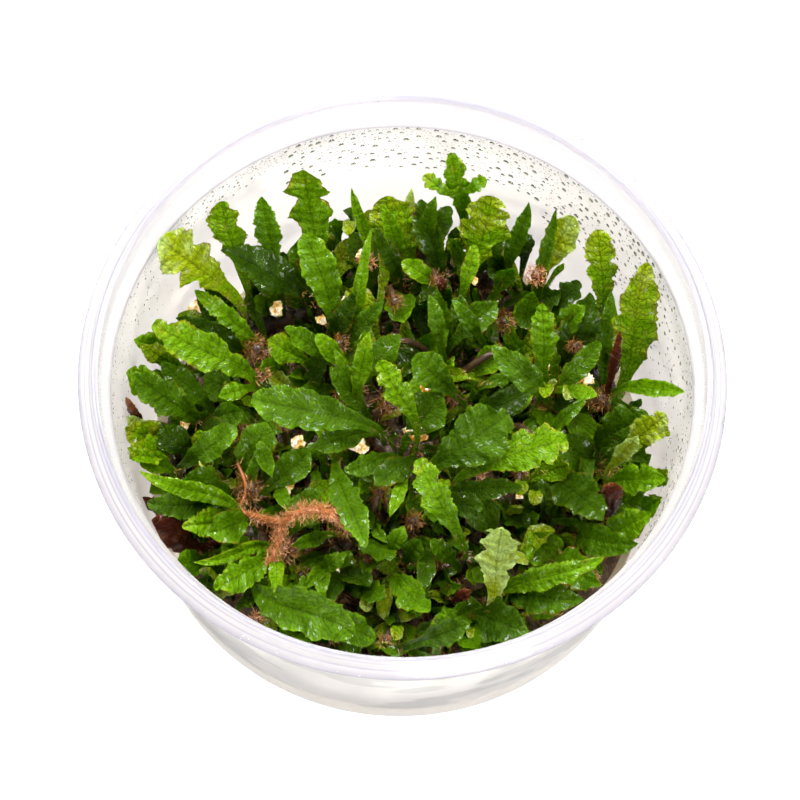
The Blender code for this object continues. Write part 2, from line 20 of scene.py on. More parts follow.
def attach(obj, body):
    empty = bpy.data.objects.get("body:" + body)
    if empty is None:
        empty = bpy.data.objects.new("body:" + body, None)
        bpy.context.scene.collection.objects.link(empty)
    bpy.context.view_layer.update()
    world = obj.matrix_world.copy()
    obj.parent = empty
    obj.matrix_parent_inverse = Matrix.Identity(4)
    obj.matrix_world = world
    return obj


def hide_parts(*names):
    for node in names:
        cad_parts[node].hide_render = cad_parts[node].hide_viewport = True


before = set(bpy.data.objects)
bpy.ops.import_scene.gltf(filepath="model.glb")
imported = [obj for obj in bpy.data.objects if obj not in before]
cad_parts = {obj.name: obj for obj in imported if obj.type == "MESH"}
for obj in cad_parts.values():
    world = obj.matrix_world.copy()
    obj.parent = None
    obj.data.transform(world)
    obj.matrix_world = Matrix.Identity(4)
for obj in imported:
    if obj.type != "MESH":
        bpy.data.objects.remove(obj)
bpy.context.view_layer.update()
MM = 0.001

# %% [markdown]
# ## Colours and nodes
#
# Colours are written as the sRGB hex values that a paint program shows. Shaders add and
# multiply light, so one function turns each value to linear. One more function adds a
# node with its settings and links, which keeps each material down to what it is made of.
# A few short ones on top of it do what every material here needs: a sum, a change of
# range, noise, a mix of two colours, bumps, and the values painted on a skin's points.

# %% Helpers for every material
def linear(hex_colour):
    """An sRGB hex colour as the linear values that a shader works with."""
    parts = [int(hex_colour[k:k + 2], 16) / 255 for k in (0, 2, 4)]
    return [c / 12.92 if c <= 0.04045 else ((c + 0.055) / 1.055) ** 2.4 for c in parts] + [1.0]


def add_node(tree, kind, settings=None):
    """Adds a node. A setting is a property, an input's value, or a node or output to link to it."""
    made = tree.nodes.new("ShaderNode" + kind)
    for key, value in (settings or {}).items():
        if isinstance(value, bpy.types.Node):
            value = next(output for output in value.outputs if output.enabled)
        if isinstance(value, bpy.types.NodeSocket):
            tree.links.new(value, made.inputs[key])
        elif isinstance(key, str) and hasattr(made, key):
            setattr(made, key, value)
        else:
            made.inputs[key].default_value = value
    return made


def calc(tree, operation, *values, clamp=False):
    """A sum on numbers and nodes."""
    return add_node(tree, "Math", {"operation": operation, "use_clamp": clamp, **dict(enumerate(values))})


def spread(tree, value, low, high, to_low=0.0, to_high=1.0):
    """A value whose part from low to high is spread over another range."""
    return add_node(tree, "MapRange", {"Value": value, "From Min": low, "From Max": high,
                                       "To Min": to_low, "To Max": to_high})


def speckle(tree, place, scale, detail, **settings):
    """Noise over a place."""
    return add_node(tree, "TexNoise", {**settings, "Vector": place, "Scale": scale, "Detail": detail})


def mixed(tree, share, first, second, blend="MIX"):
    """The second colour mixed into the first by a share from 0 to 1."""
    return add_node(tree, "Mix", {"data_type": "RGBA", "blend_type": blend, 0: share, 6: first, 7: second})


def relief(tree, height, strength, depth):
    """Bumps that a height makes in the surface, with a depth in millimetres."""
    return add_node(tree, "Bump", {"Strength": strength, "Distance": depth * MM, "Height": height})


def painted(tree):
    """The four values painted on a skin's points."""
    values = add_node(tree, "Attribute", {"attribute_name": "leaf"})
    return (*add_node(tree, "SeparateColor", {0: values}).outputs, values.outputs["Alpha"])


def new_material(name):
    """An empty material and its node tree."""
    material = bpy.data.materials.new(name)
    material.use_nodes = True
    material.node_tree.nodes.clear()
    return material, material.node_tree


print("mid green in linear:", [round(c, 3) for c in linear("5a7f0c")])

# %% [markdown]
# ## The camera
#
# The cup was photographed from above its front edge with a long lens. The rim, the inner
# ledge and the foot are three level circles of known size, and the ellipses that they
# make in the photograph give the height of the view, the distance and a slight lean.

# %% Camera
VIEW_HEIGHT = math.radians(65.6)
VIEW_DISTANCE = 0.450
VIEW_LEAN = math.radians(2.7)
TARGET = Vector((0.0, 0.0, 0.0466))
PHOTO_SIDE = 800
TARGET_PIXEL = (403, 371)
FOCAL_PIXELS = 2868
SENSOR = 36.0


def rolled(side, over, turn):
    """Two directions, square to each other, turned by one angle."""
    cosine, sine = np.cos(turn), np.sin(turn)
    return side * cosine + over * sine, over * cosine - side * sine


back = Vector((0.0, -math.cos(VIEW_HEIGHT), math.sin(VIEW_HEIGHT)))
level = Vector((1.0, 0.0, 0.0))
right, upward = rolled(level, back.cross(level), VIEW_LEAN)
lens = bpy.data.cameras.new("camera")
lens.sensor_width = SENSOR
lens.lens = FOCAL_PIXELS / PHOTO_SIDE * SENSOR
lens.shift_x = -(TARGET_PIXEL[0] - PHOTO_SIDE / 2) / PHOTO_SIDE
lens.shift_y = (TARGET_PIXEL[1] - PHOTO_SIDE / 2) / PHOTO_SIDE
lens.clip_start = 0.01
camera = bpy.data.objects.new("camera", lens)
bpy.context.scene.collection.objects.link(camera)
camera.matrix_world = Matrix.Translation(TARGET + back * VIEW_DISTANCE) @ Matrix(
    [[right[k], upward[k], back[k]] for k in range(3)]).to_4x4()
bpy.context.scene.camera = camera
print("lens:", round(lens.lens, 1), "mm")


def pixel_of(spot):
    """The pixel at which the photograph shows a place given in millimetres."""
    ray = Vector(spot) * MM - TARGET - back * VIEW_DISTANCE
    scale = FOCAL_PIXELS / -ray.dot(back)
    return TARGET_PIXEL[0] + ray.dot(right) * scale, TARGET_PIXEL[1] - ray.dot(upward) * scale


def seen_at(x_pixel, y_pixel, height):
    """The place in millimetres at a height that the photograph shows at a pixel."""
    across = (x_pixel - TARGET_PIXEL[0]) / FOCAL_PIXELS
    down = (y_pixel - TARGET_PIXEL[1]) / FOCAL_PIXELS
    ray = right * across - upward * down - back
    start = TARGET + back * VIEW_DISTANCE
    spot = start + ray * ((height * MM - start.z) / ray.z)
    return Vector((spot.x / MM, spot.y / MM, height))


# %% [markdown]
# ## Light and floor
#
# A white table and a white room give a clear cup its shape: what the eye reads is where
# the plastic bends the white away. A large soft lamp from behind and above and one from
# the front light the fronds, and seven small lamps overhead put the hard glints on them.
# The room is darker overhead: this keeps a grey veil off the wet leaves and gives every
# drop a dark side. The table is a light table: grey frosted glass that glows, so that the
# clear cup throws no shadow and its own faint greys still show. The floor is not attached
# to the object's body, so it is no part of the object.

# %% Light and floor
AIM = Vector((0.0, 0.0, 0.02))


def soft_lamp(name, place, side, watts):
    """A square soft lamp that shines at the middle of the cup."""
    lamp = bpy.data.lights.new(name, "AREA")
    lamp.shape = "SQUARE"
    lamp.size = side
    lamp.energy = watts
    stand = bpy.data.objects.new(name, lamp)
    bpy.context.scene.collection.objects.link(stand)
    stand.location = place
    stand.rotation_euler = (Vector(place) - AIM).to_track_quat("Z", "Y").to_euler()


soft_lamp("back softbox", place=(-0.15, 0.38, 0.60), side=0.30, watts=6.3)
soft_lamp("front fill", place=(0.20, -0.55, 0.45), side=0.35, watts=4.7)
SPARKS = ((0.14, 0.12, 0.80), (-0.28, -0.05, 0.70), (0.02, 0.34, 0.70), (0.30, 0.26, 0.62),
          (-0.12, 0.16, 0.82), (0.34, -0.02, 0.68), (-0.34, 0.24, 0.60))
for number, place in enumerate(SPARKS, start=1):
    soft_lamp(f"spark {number}", place, side=0.10, watts=1.8)

WALL_LIGHT = 0.85
CEILING_LIGHT = 0.07
room = bpy.data.worlds.new("white room")
room.use_nodes = True
tree = room.node_tree
tree.nodes.clear()
toward = add_node(tree, "SeparateXYZ", {0: add_node(tree, "TexCoord").outputs["Generated"]})
upwards = spread(tree, toward.outputs["Z"], 0.25, 0.7, WALL_LIGHT, CEILING_LIGHT)
add_node(tree, "OutputWorld", {"Surface": add_node(tree, "Background", {"Strength": upwards})})
bpy.context.scene.world = room
bpy.context.scene.view_settings.view_transform = "Standard"

HALF_FLOOR = 2.0
FLOOR_DROP = 0.05 * MM
TABLE_GLOW = 1.0
table_paint, tree = new_material("white table")
paint = add_node(tree, "BsdfPrincipled", {
    "Base Color": linear("787878"), "Roughness": 0.9, "Emission Color": linear("ffffff"),
    "Emission Strength": TABLE_GLOW})
add_node(tree, "OutputMaterial", {"Surface": paint})
corner_signs = ((-1, -1), (1, -1), (1, 1), (-1, 1))
floor_corners = [(x * HALF_FLOOR, y * HALF_FLOOR, -FLOOR_DROP) for x, y in corner_signs]
floor_mesh = bpy.data.meshes.new("floor")
floor_mesh.from_pydata(floor_corners, [], [(0, 1, 2, 3)])
floor_mesh.materials.append(table_paint)
floor = bpy.data.objects.new("floor", floor_mesh)
bpy.context.scene.collection.objects.link(floor)
print("lamps and floor are in place")

# %% [markdown]
# ## Where every frond stands
#
# The solids were laid out from a short list: for each frond the rhizome that carries it,
# the neck and the tip of its blade, its width, bow, roll and shade. The same list is
# repeated here in millimetres, with the same few curves, so that the fine frond grows
# exactly where the plain solid stands.

# %% Sizes of the cup and the clump, in millimetres
FOOT_RADIUS = 42.6
CUP_HEIGHT = 48.9
WALL = 0.8
FLOOR = 1.0
LEDGE_RADIUS = 46.0
LEDGE_HEIGHT = 42.6
SEAT_RADIUS = 47.4
RIDGE_RADIUS = 48.3
RIM_RADIUS = 51.0
RIM_HEIGHT = 46.6
GEL_TOP = 9.0
MAT_TOP = 12.0
GAP = 0.3
WALL_CLEARANCE = 0.6
RHIZOME_RADIUS = 1.7
STALK_WIDTH = 1.1
SPROUTS = 56
SPROUT_REACH = 37.0
SPROUT_LEAN = 2.0
SPROUT_RISE = (4.0, 8.0)
SPROUT_LENGTH = (5.5, 8.0)
SPROUT_CLIMB = (3.0, 6.0)
SPROUT_WIDTH = (4.4, 6.4)
GOLDEN_TURN = math.pi * (3 - math.sqrt(5))
FACING = Vector((0.0, -0.35, 0.94))
INNER_WALL = [(FOOT_RADIUS - 2.6, FLOOR), (FOOT_RADIUS - WALL, FLOOR + 2.4), (LEDGE_RADIUS, LEDGE_HEIGHT),
              (SEAT_RADIUS, LEDGE_HEIGHT + 2.2), (SEAT_RADIUS + 0.3, CUP_HEIGHT - 0.5)]

Form = namedtuple("Form", "widest blunt notch trough sections")
FORMS = {
    "blade": Form(0.42, 0.80, 0.00, 0.22, 6),
    "spoon": Form(0.62, 0.45, 0.00, 0.26, 6),
    "toothed": Form(0.50, 0.60, 0.22, 0.20, 7),
    "lobed": Form(0.60, 0.38, 0.42, 0.16, 7),
    "slip": Form(0.42, 0.80, 0.00, 0.22, 4),
    "paddle": Form(0.62, 0.45, 0.00, 0.26, 4),
    "nicked": Form(0.52, 0.50, 0.28, 0.20, 5),
    "shred": Form(0.45, 0.50, 0.30, -0.25, 5),
    "sprout": Form(0.50, 0.70, 0.00, 0.25, 2),
}

RHIZOMES = {
    "A": [(-35, 9, 14), (-28, 19, 15), (-18, 24, 15), (-10, 27, 14)],
    "B": [(-4, 29, 14), (4, 31, 15.5), (12, 32.5, 15), (18, 31, 14)],
    "C": [(22.5, 27, 14), (28, 21, 15), (33, 12, 15.5), (35, 4, 14)],
    "D": [(36.5, -2, 14), (34, -9, 15.5), (33, -17, 15.5), (29.5, -22, 14)],
    "E": [(25, -25, 14), (18, -29, 15.5), (9, -32, 15.5), (1, -31, 14)],
    "F": [(-8, -32, 14), (-16, -26, 17), (-22, -20, 20.5), (-26.5, -13.5, 21)],
    "G": [(-38, -10, 14), (-36, -3, 16), (-32, 3, 16.5), (-26, 6, 14)],
    "H": [(-15, 12, 14), (-8, 6, 17), (-2, -2, 19), (5, -8, 18), (11, -9, 14)],
    "I": [(23, 7, 14), (15, 3, 17), (9, 8, 17.5), (6, 16, 14)],
    "J": [(-6, -17, 14), (3, -20, 16), (12, -20, 16.5), (19, -14, 14)],
}
print("rhizomes:", len(RHIZOMES), "forms:", len(FORMS))

# %% The list of fronds
Frond = namedtuple("Frond", "on form neck tip width bow shade roll", defaults=(0,))
GROWN = [Frond(*row) for row in (
    ("A", "lobed", (-30, 18.5, 36), (-40, 21.5, 46), 8.5, 1.0, "yellow"),
    ("A", "lobed", (-28, 26, 30), (-31, 32, 40), 6.0, 0.6, "bright", 10),
    ("A", "toothed", (-22, 26, 30), (-24.5, 33, 40), 4.2, 0.5, "mid", 15),
    ("A", "lobed", (-15, 30, 26), (-18, 38.5, 40), 7.5, -0.8, "bright"),
    ("H", "spoon", (-12, 18, 26), (-17, 28, 38), 5.8, 1.2, "fresh", -10),
    ("B", "spoon", (0, 31, 22), (-4.5, 38.5, 32), 8.0, 0.8, "yellow"),
    ("B", "toothed", (5.5, 29, 24), (1.5, 37, 34), 5.0, 0.8, "dark", 20),
    ("B", "lobed", (9, 37.5, 28), (6, 41.5, 43), 4.2, 0.5, "bright"),
    ("B", "lobed", (11, 31, 24), (13.5, 37.5, 36), 8.6, 0.8, "yellow"),
    ("C", "blade", (17, 31, 24), (19.5, 36.5, 36), 3.0, 0.4, "mid"),
    ("C", "blade", (22, 24.5, 24), (24, 34.5, 38), 2.4, 0.4, "mid", 20),
    ("C", "spoon", (23, 29.5, 26), (27, 34.5, 36), 5.6, 0.8, "yellow"),
    ("C", "lobed", (32.5, 22, 30), (30.5, 29, 42), 5.6, 0.8, "netted"),
    ("C", "blade", (27, 13, 24), (30, 21.5, 34), 6.2, 1.0, "dark"),
    ("C", "toothed", (37, 11.5, 24), (38.5, 22.5, 44), 7.4, 1.0, "netted"),
    ("D", "spoon", (36, 5.5, 32), (44.3, 0.5, 43), 2.8, 1.0, "bright"),
    ("D", "lobed", (32.5, -1, 24), (39, 0.5, 34), 7.0, 1.0, "dark"),
    ("D", "lobed", (37, -4.5, 30), (42, -2.5, 40), 5.0, 0.8, "yellow", 10),
    ("D", "toothed", (35, -9, 27), (42, -12.5, 38), 5.0, 0.8, "bright"),
    ("D", "toothed", (34.5, -18, 26), (40, -18.5, 38), 5.2, 1.0, "bright"),
    ("D", "blade", (26.5, -7, 22), (33, -18, 32), 6.6, 1.2, "dark"),
    ("D", "blade", (29.5, -18, 24), (38, -23, 36), 5.0, 1.2, "mid"),
    ("E", "toothed", (18, -28, 26), (33, -25.5, 36), 3.8, 4.0, "bright"),
    ("E", "blade", (26, -22, 24), (32.5, -29.5, 34), 6.0, 1.2, "mid"),
    ("E", "blade", (18.5, -29, 26), (30, -32, 34), 5.6, 1.6, "mid"),
    ("E", "lobed", (16, -31, 31), (16.5, -24, 43), 6.6, -1.0, "pale"),
    ("E", "blade", (14, -31, 23), (21.5, -36, 30), 6.8, 1.2, "dark"),
    ("F", "spoon", (-21.5, -30, 26), (-5.5, -41, 38), 7.2, 2.0, "fresh"),
    ("F", "lobed", (-19.5, -23.5, 24), (-28, -32.5, 33), 5.0, 1.2, "bright"),
    ("F", "blade", (-20, -22, 24), (-31.5, -28.5, 33), 2.1, 1.2, "bright"),
    ("F", "toothed", (-26, -17, 23), (-34, -21.5, 30), 4.8, 1.0, "bright"),
    ("F", "toothed", (-26, -15.5, 24), (-40, -18, 31), 5.2, 1.5, "mid"),
    ("F", "blade", (-26, -16, 26), (-41, -15, 37), 2.9, 1.2, "bright"),
    ("G", "toothed", (-33.5, -1, 26), (-43.5, 1.5, 38), 5.6, 1.0, "mid"),
    ("G", "lobed", (-25, 6.5, 28), (-40.5, 10, 39), 6.4, 1.5, "bright"),
    ("A", "toothed", (-25.5, 14, 27), (-34.5, 17.5, 36), 3.2, 1.0, "bright"),
    ("H", "spoon", (-6, -3, 32), (-24, -2, 38), 6.6, 1.8, "fresh"),
    ("H", "lobed", (2, -0.5, 30), (-4, 5.5, 38), 4.6, 1.0, "bright"),
    ("I", "spoon", (8, 4.5, 30), (1.5, 7.5, 36), 5.6, 0.8, "mid"),
    ("H", "lobed", (6.5, -9.5, 33), (17, -3.5, 40), 9.6, 1.2, "deep"),
    ("H", "lobed", (14, -10, 34), (26.5, -7.5, 40), 7.0, 1.0, "bright"),
    ("J", "lobed", (9.5, -20.5, 32), (3, -12, 40), 5.2, 0.8, "bright"),
    ("I", "blade", (23, 5.5, 28), (14, 10.5, 35), 4.6, 1.2, "mid"),
    ("I", "toothed", (23, 10.5, 28), (22, 17.5, 37), 4.6, 0.6, "bright"),
    ("H", "toothed", (-10, -10.5, 30), (-4.5, -26, 36), 4.8, 1.5, "mid"),
)]

YOUNG = [Frond(*row) for row in (
    ("A", "slip", (-18, 24, 24), (-31, 27, 31), 7.5, 1.5, "dark", -20),
    ("A", "slip", (-6.5, 31, 26), (-10, 37.5, 37), 1.9, 0.4, "bright"),
    ("H", "slip", (-9, 15, 24), (-6.5, 28, 40), 2.2, 0.6, "bright"),
    ("B", "slip", (-0.5, 33, 24), (0, 38.5, 36), 2.6, 0.4, "pale", 15),
    ("C", "slip", (33.5, 11.5, 22), (33.5, 21.5, 34), 3.6, 0.6, "mid"),
    ("D", "paddle", (35, -6, 28), (38, -4.5, 36), 3.0, 0.4, "pale"),
    ("G", "slip", (-37, -10, 26), (-43.5, -10, 34), 3.4, 0.6, "bright"),
    ("A", "slip", (-27, 12, 25), (-37, 13.5, 34), 4.0, 0.8, "dark"),
    ("G", "nicked", (-38, -4.5, 24), (-43.5, -5, 34), 4.0, 0.6, "yellow"),
    ("G", "paddle", (-34.5, -9, 26), (-26.5, -5.5, 34), 4.6, 0.8, "mid"),
    ("B", "paddle", (9.5, 24, 28), (11, 29, 34), 2.8, 0.4, "bright"),
    ("B", "paddle", (4.5, 25, 28), (-1, 26, 33), 3.4, 0.6, "bright"),
    ("E", "nicked", (0, -27, 26), (6, -34.5, 32), 5.0, 0.8, "mid"),
    ("E", "paddle", (7.5, -39, 32), (8, -36.5, 38), 3.0, 0.3, "bright"),
    ("H", "paddle", (-9.5, 8, 30), (-14.5, 10.5, 36), 3.2, 0.5, "bright"),
    ("H", "paddle", (-7, 5.5, 28), (-6.5, 11.5, 36), 2.4, 0.4, "bright"),
    ("H", "nicked", (-13.5, 11, 28), (-19.5, 12.5, 34), 3.6, 0.5, "mid"),
    ("G", "paddle", (-30, -1.5, 28), (-25.5, -1.5, 32), 4.2, 0.5, "mid"),
    ("G", "nicked", (-32, 2, 26), (-39, 5.5, 34), 4.0, 0.6, "mid"),
    ("A", "nicked", (-36.5, 7, 28), (-42.5, 7.5, 36), 3.6, 0.5, "yellow"),
    ("H", "slip", (-10, 14.5, 24), (-3.5, 19.5, 32), 3.0, 0.6, "dark"),
    ("A", "slip", (-12.5, 15.5, 24), (-8, 20.5, 32), 3.6, 0.6, "dark"),
    ("I", "slip", (7, 17, 22), (5, 23, 30), 3.0, 0.5, "mid"),
    ("B", "slip", (-1.5, 28, 24), (-6, 32.5, 32), 3.2, 0.6, "dark"),
    ("I", "slip", (9.5, 17.5, 22), (9.0, 23, 28), 3.4, 0.5, "dark"),
    ("C", "nicked", (26, 8, 26), (32, 13.5, 32), 4.0, 0.6, "mid"),
    ("I", "paddle", (27, 6, 29), (31.5, 3.5, 33), 2.6, 0.4, "bright"),
    ("H", "nicked", (-6, -2.5, 27), (-13.5, -7.5, 32), 4.4, 0.6, "mid"),
    ("H", "nicked", (-2.5, -7, 28), (-8.5, -11.5, 32), 3.6, 0.6, "mid"),
    ("H", "slip", (1, -10.5, 28), (-1, -18.5, 32), 2.2, 0.5, "bright"),
    ("H", "nicked", (7, -12.5, 24), (14, -15, 28), 4.2, 0.6, "dark"),
    ("H", "nicked", (8.5, -12, 27), (20, -12.5, 32), 3.6, 0.8, "mid"),
    ("F", "slip", (-8.5, -25, 22), (-11, -33.5, 28), 2.8, 0.6, "dark"),
    ("J", "slip", (-8, -25.5, 22), (-3.5, -32, 28), 3.4, 0.6, "dark"),
    ("J", "slip", (-11.5, -19.5, 24), (-16.5, -23, 28), 2.4, 0.4, "mid"),
    ("F", "paddle", (-11.5, -32.5, 24), (-2, -39.5, 32), 5.0, 0.8, "mid"),
    ("E", "nicked", (5, -37.5, 28), (12, -36.5, 34), 4.2, 0.5, "mid"),
    ("F", "slip", (-31, -24, 22), (-35, -28, 30), 4.2, 0.5, "mid"),
    ("F", "nicked", (-21.5, -9.5, 26), (-22.5, -6, 30), 2.6, 0.4, "mid"),
    ("F", "slip", (-24.5, -14, 24), (-23, -7.5, 30), 2.0, 0.4, "mid"),
    ("G", "paddle", (-34, -6.5, 26), (-38.5, -5, 31), 5.0, 0.6, "dark"),
    ("G", "slip", (-25.5, 3.5, 29), (-29.5, 0.5, 32), 3.0, 0.5, "bright"),
    ("J", "paddle", (2, -23, 24), (4, -22, 30), 3.6, 0.4, "dark"),
)]

DEAD = [Frond(*row) for row in (
    ("F", "shred", (-32, -21.5, 21), (-39, -20.5, 30), 5.6, 0.6, "dead"),
    ("D", "shred", (34.5, -15.5, 29), (34, -13, 36), 4.2, 0.4, "dead"),
)]
print("grown:", len(GROWN), "young:", len(YOUNG), "dead:", len(DEAD))


# %% Curves that the rhizomes and fronds follow
def smooth_point(points, place):
    """A point on the smooth curve through points, at a place from 0 to 1."""
    last = len(points) - 1
    reach = min(max(place, 0.0), 1.0) * last
    start = min(int(reach), last - 1)
    t = reach - start
    before, a, b, after = (Vector(points[min(max(start + k, 0), last)]) for k in (-1, 0, 1, 2))
    rise = (b - before) * 0.5
    fall = (after - a) * 0.5
    return ((2 * t**3 - 3 * t**2 + 1) * a + (t**3 - 2 * t**2 + t) * rise
            + (3 * t**2 - 2 * t**3) * b + (t**3 - t**2) * fall)


def nearest_place(path, target):
    """The place on a rhizome nearest to a point, seen from above."""
    places = [k / 40 for k in range(41)]
    return min(places, key=lambda p: (smooth_point(path, p).xy - target.xy).length)


def through_four(route, knots, at):
    """Points on the even curve that meets four points at their knots."""
    spots = np.zeros((len(at), 3))
    for i, point in enumerate(route):
        weight = np.ones(len(at))
        for j, knot in enumerate(knots):
            if j != i:
                weight *= (at - knot) / (knots[i] - knot)
        spots += weight[:, None] * np.array(point)
    return spots


def sprout(number):
    """One of the smallest fronds, rooted on the rhizome that lies nearest to its spot."""
    chance = random.Random(number)
    turn = number * GOLDEN_TURN
    out = SPROUT_REACH * math.sqrt((number + 0.5) / SPROUTS)
    spot = Vector((out * math.cos(turn), out * math.sin(turn), 0.0))
    feet = {key: smooth_point(path, nearest_place(path, spot)) for key, path in RHIZOMES.items()}
    key = min(feet, key=lambda k: (feet[k].xy - spot.xy).length)
    foot = feet[key]
    lean = Vector((spot.x - foot.x, spot.y - foot.y, 0.0))
    if lean.length < SPROUT_LEAN:
        lean = Vector((spot.x, spot.y, 0.0)).normalized() * SPROUT_LEAN
    neck = foot + lean * 0.5
    neck.z = foot.z + chance.uniform(*SPROUT_RISE)
    tip = neck + lean.normalized() * chance.uniform(*SPROUT_LENGTH)
    tip.z = neck.z + chance.uniform(*SPROUT_CLIMB)
    shade = chance.choice(("dark", "mid", "mid", "bright"))
    return Frond(key, "sprout", tuple(neck), tuple(tip), chance.uniform(*SPROUT_WIDTH), 0.5, shade)


print("the first sprout grows on rhizome", sprout(0).on)

# %% [markdown]
# ## One frond as a fine skin
#
# A real frond of this fern has a flat stalk that widens into a thin blade with a strong
# midrib. The margin is wavy or cut into blunt lobes that point to the tip, and the blade
# swells between its side veins, which gives the puckered look. A sheet with a solidify
# modifier could show that, but its rim would be as thick as its middle. Here each frond
# is a skin of closed sections: thick at the rib, thin at the edge, so it also exports as
# a true closed body. The sections are worked out together with arrays, which is quick.

# %% The frond's axis
ROOT_LIFT = 0.4
ROOT_RANGE = (0.04, 0.96)


def unit(rows):
    """Directions, each made one long."""
    return rows / np.maximum(np.linalg.norm(rows, axis=-1, keepdims=True), 1e-9)


def off_axis(ways, ahead):
    """Ways made square to the lines that they stand on."""
    return unit(ways - ahead * (ways * ahead).sum(axis=-1, keepdims=True))


def turns(sides):
    """Angles spread evenly round a circle."""
    return np.arange(sides) * math.tau / sides


def axis_through(foot, neck, tip, bow, roll):
    """The four points that a frond's midrib meets, their knots, its side direction and its length."""
    along = (tip - neck).normalized()
    side = along.cross(FACING).normalized()
    side, over = rolled(side, side.cross(along), math.radians(roll))
    route = [foot, neck, (neck + tip) / 2 + over * bow, tip]
    legs = [(b - a).length for a, b in zip(route, route[1:])]
    knots = [sum(legs[:k]) / sum(legs) for k in range(4)]
    return route, knots, np.array(side), sum(legs)


def sections_of(route, knots, side, at):
    """Middle, way ahead, side and upper direction of the sections at some places."""
    here = through_four(route, knots, at)
    ahead = unit(through_four(route, knots, at + 0.01) - through_four(route, knots, at - 0.01))
    wide = off_axis(side, ahead)
    return here, ahead, wide, np.cross(wide, ahead)


def swell_of(form, s):
    """How much of its full width a blade has along its length, before lobes."""
    shape = FORMS[form]
    opening = np.sin(0.5 * np.pi * np.minimum(s / shape.widest, 1.0)) ** 1.2
    left = 0.5 * np.pi * np.clip((s - shape.widest) / (1 - shape.widest), 0.0, 1.0)
    closing = np.maximum(np.cos(left), 0.0) ** shape.blunt
    return np.where(s < shape.widest, opening, closing)


def inner_radius(height):
    """The radius of the cup's inside at a height."""
    return np.interp(height, [z for _, z in INNER_WALL], [r for r, _ in INNER_WALL])


def within_wall(rings):
    """Sections moved in towards the axis where they would reach the cup's wall."""
    radius = np.hypot(rings[..., 0], rings[..., 1])
    over = np.maximum((radius - inner_radius(rings[..., 2]) + WALL_CLEARANCE).max(axis=1), 0.0)
    middle = rings.mean(axis=1)
    middle[:, 2] = 0.0
    return rings - (unit(middle) * over[:, None])[:, None, :]


print("inside radius at the ledge:", inner_radius(LEDGE_HEIGHT))

# %% [markdown]
# ## The place of each solid
#
# Each solid frond was moved a little until it had room: slid along the line of sight, its
# root stepped along the rhizome, or its blade made narrower. Here the same moves are
# tried in the same order. The right one is known by the frond's tip, because the plain
# solid has corners exactly there.

# %% Moves, and the plain solid's tip
SLIDE_LINE = Vector((0.0, -0.413, 0.911))
SLIDES = (0.0, 0.7, -0.7, 1.4, -1.4, 2.1, -2.1, 2.8, -2.8, 3.5, -3.5, 4.5, -4.5, 5.5, -5.5)
ROOT_STEPS = (0.0, 1.6, -1.6, 3.2, -3.2, 4.8, -4.8)
NARROWER = (1.0, 0.85, 0.7)
MOVES = sorted(((abs(slide) + 0.4 * abs(step) + 4 * (1 - narrower), slide, step, narrower)
                for slide in SLIDES for step in ROOT_STEPS for narrower in NARROWER),
               key=lambda move: move[0])
TIP_PLACE = 0.96
SOLID_HALF = 0.35
WORST_MISS = 1.0
GOOD_MISS = 0.02


def frond_axis(frond, slide, root_step, fused):
    """The axis of a frond of the list, after the small moves that found it a free place."""
    path = RHIZOMES[frond.on]
    neck, tip = (Vector(end) + SLIDE_LINE * slide for end in (frond.neck, frond.tip))
    run = sum((Vector(b) - Vector(a)).length for a, b in zip(path, path[1:]))
    place = nearest_place(path, neck - (tip - neck) * 0.3) + root_step / run
    foot = smooth_point(path, min(max(place, ROOT_RANGE[0]), ROOT_RANGE[1]))
    foot.z += RHIZOME_RADIUS * ROOT_LIFT if fused else RHIZOME_RADIUS + GAP + 0.1
    return axis_through(foot, neck, tip, frond.bow, frond.roll)


def last_section(frond, axis, narrower):
    """The tip section of the plain solid, by which its place is recognised."""
    route, knots, side, _ = axis
    at = np.array([knots[1] + (1 - knots[1]) * TIP_PLACE])
    here, _, wide, up = sections_of(route, knots, side, at)
    shape = FORMS[frond.form]
    wave = 0.5 + 0.5 * math.cos(math.pi * (TIP_PLACE * shape.sections - 1))
    swell = swell_of(frond.form, np.array([TIP_PLACE]))[0] * (1 - shape.notch * (1 - wave))
    half = STALK_WIDTH / 2 + (frond.width * narrower - STALK_WIDTH) / 2 * swell
    edge = up * shape.trough * half
    thick = SOLID_HALF * (1 - 0.5 * TIP_PLACE)
    return np.stack([here - wide * half + edge, here + wide * half + edge, here - up * thick,
                     here + up * thick], axis=1)


def settle(frond, node, fused=False):
    """How far off the best place is, and the axis and width that a frond has in it, or None."""
    corners = np.array([v.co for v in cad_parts[node].data.vertices]) / MM
    known = 3 if fused else 4
    best = (WORST_MISS, None)
    for _, slide, step, narrower in MOVES:
        axis = frond_axis(frond, slide, step, fused)
        tip = within_wall(last_section(frond, axis, narrower)[:, :known])
        miss = np.linalg.norm(corners[None] - tip[0][:, None], axis=2).min(axis=1).max()
        if miss < best[0]:
            best = (miss, (axis, frond.width * narrower))
        if miss < GOOD_MISS:
            break
    return best


settled = {}
for name, fronds in (("frond_{:02d}", GROWN), ("dead_frond_{}", DEAD)):
    for number, frond in enumerate(fronds, start=1):
        node = name.format(number)
        settled[node] = [(frond, *settle(frond, node)[1])]
SHOOTS = YOUNG + [sprout(number) for number in range(SPROUTS)]
for number, key in enumerate(RHIZOMES, start=1):
    node = f"rhizome_{number:02d}"
    found = [(frond, settle(frond, node, fused=True)) for frond in SHOOTS if frond.on == key]
    settled[node] = [(frond, *place) for frond, (_, place) in found if place]
    print(node, "young fronds:", len(settled[node]), "worst miss:", round(max(m for _, (m, _) in found), 3))


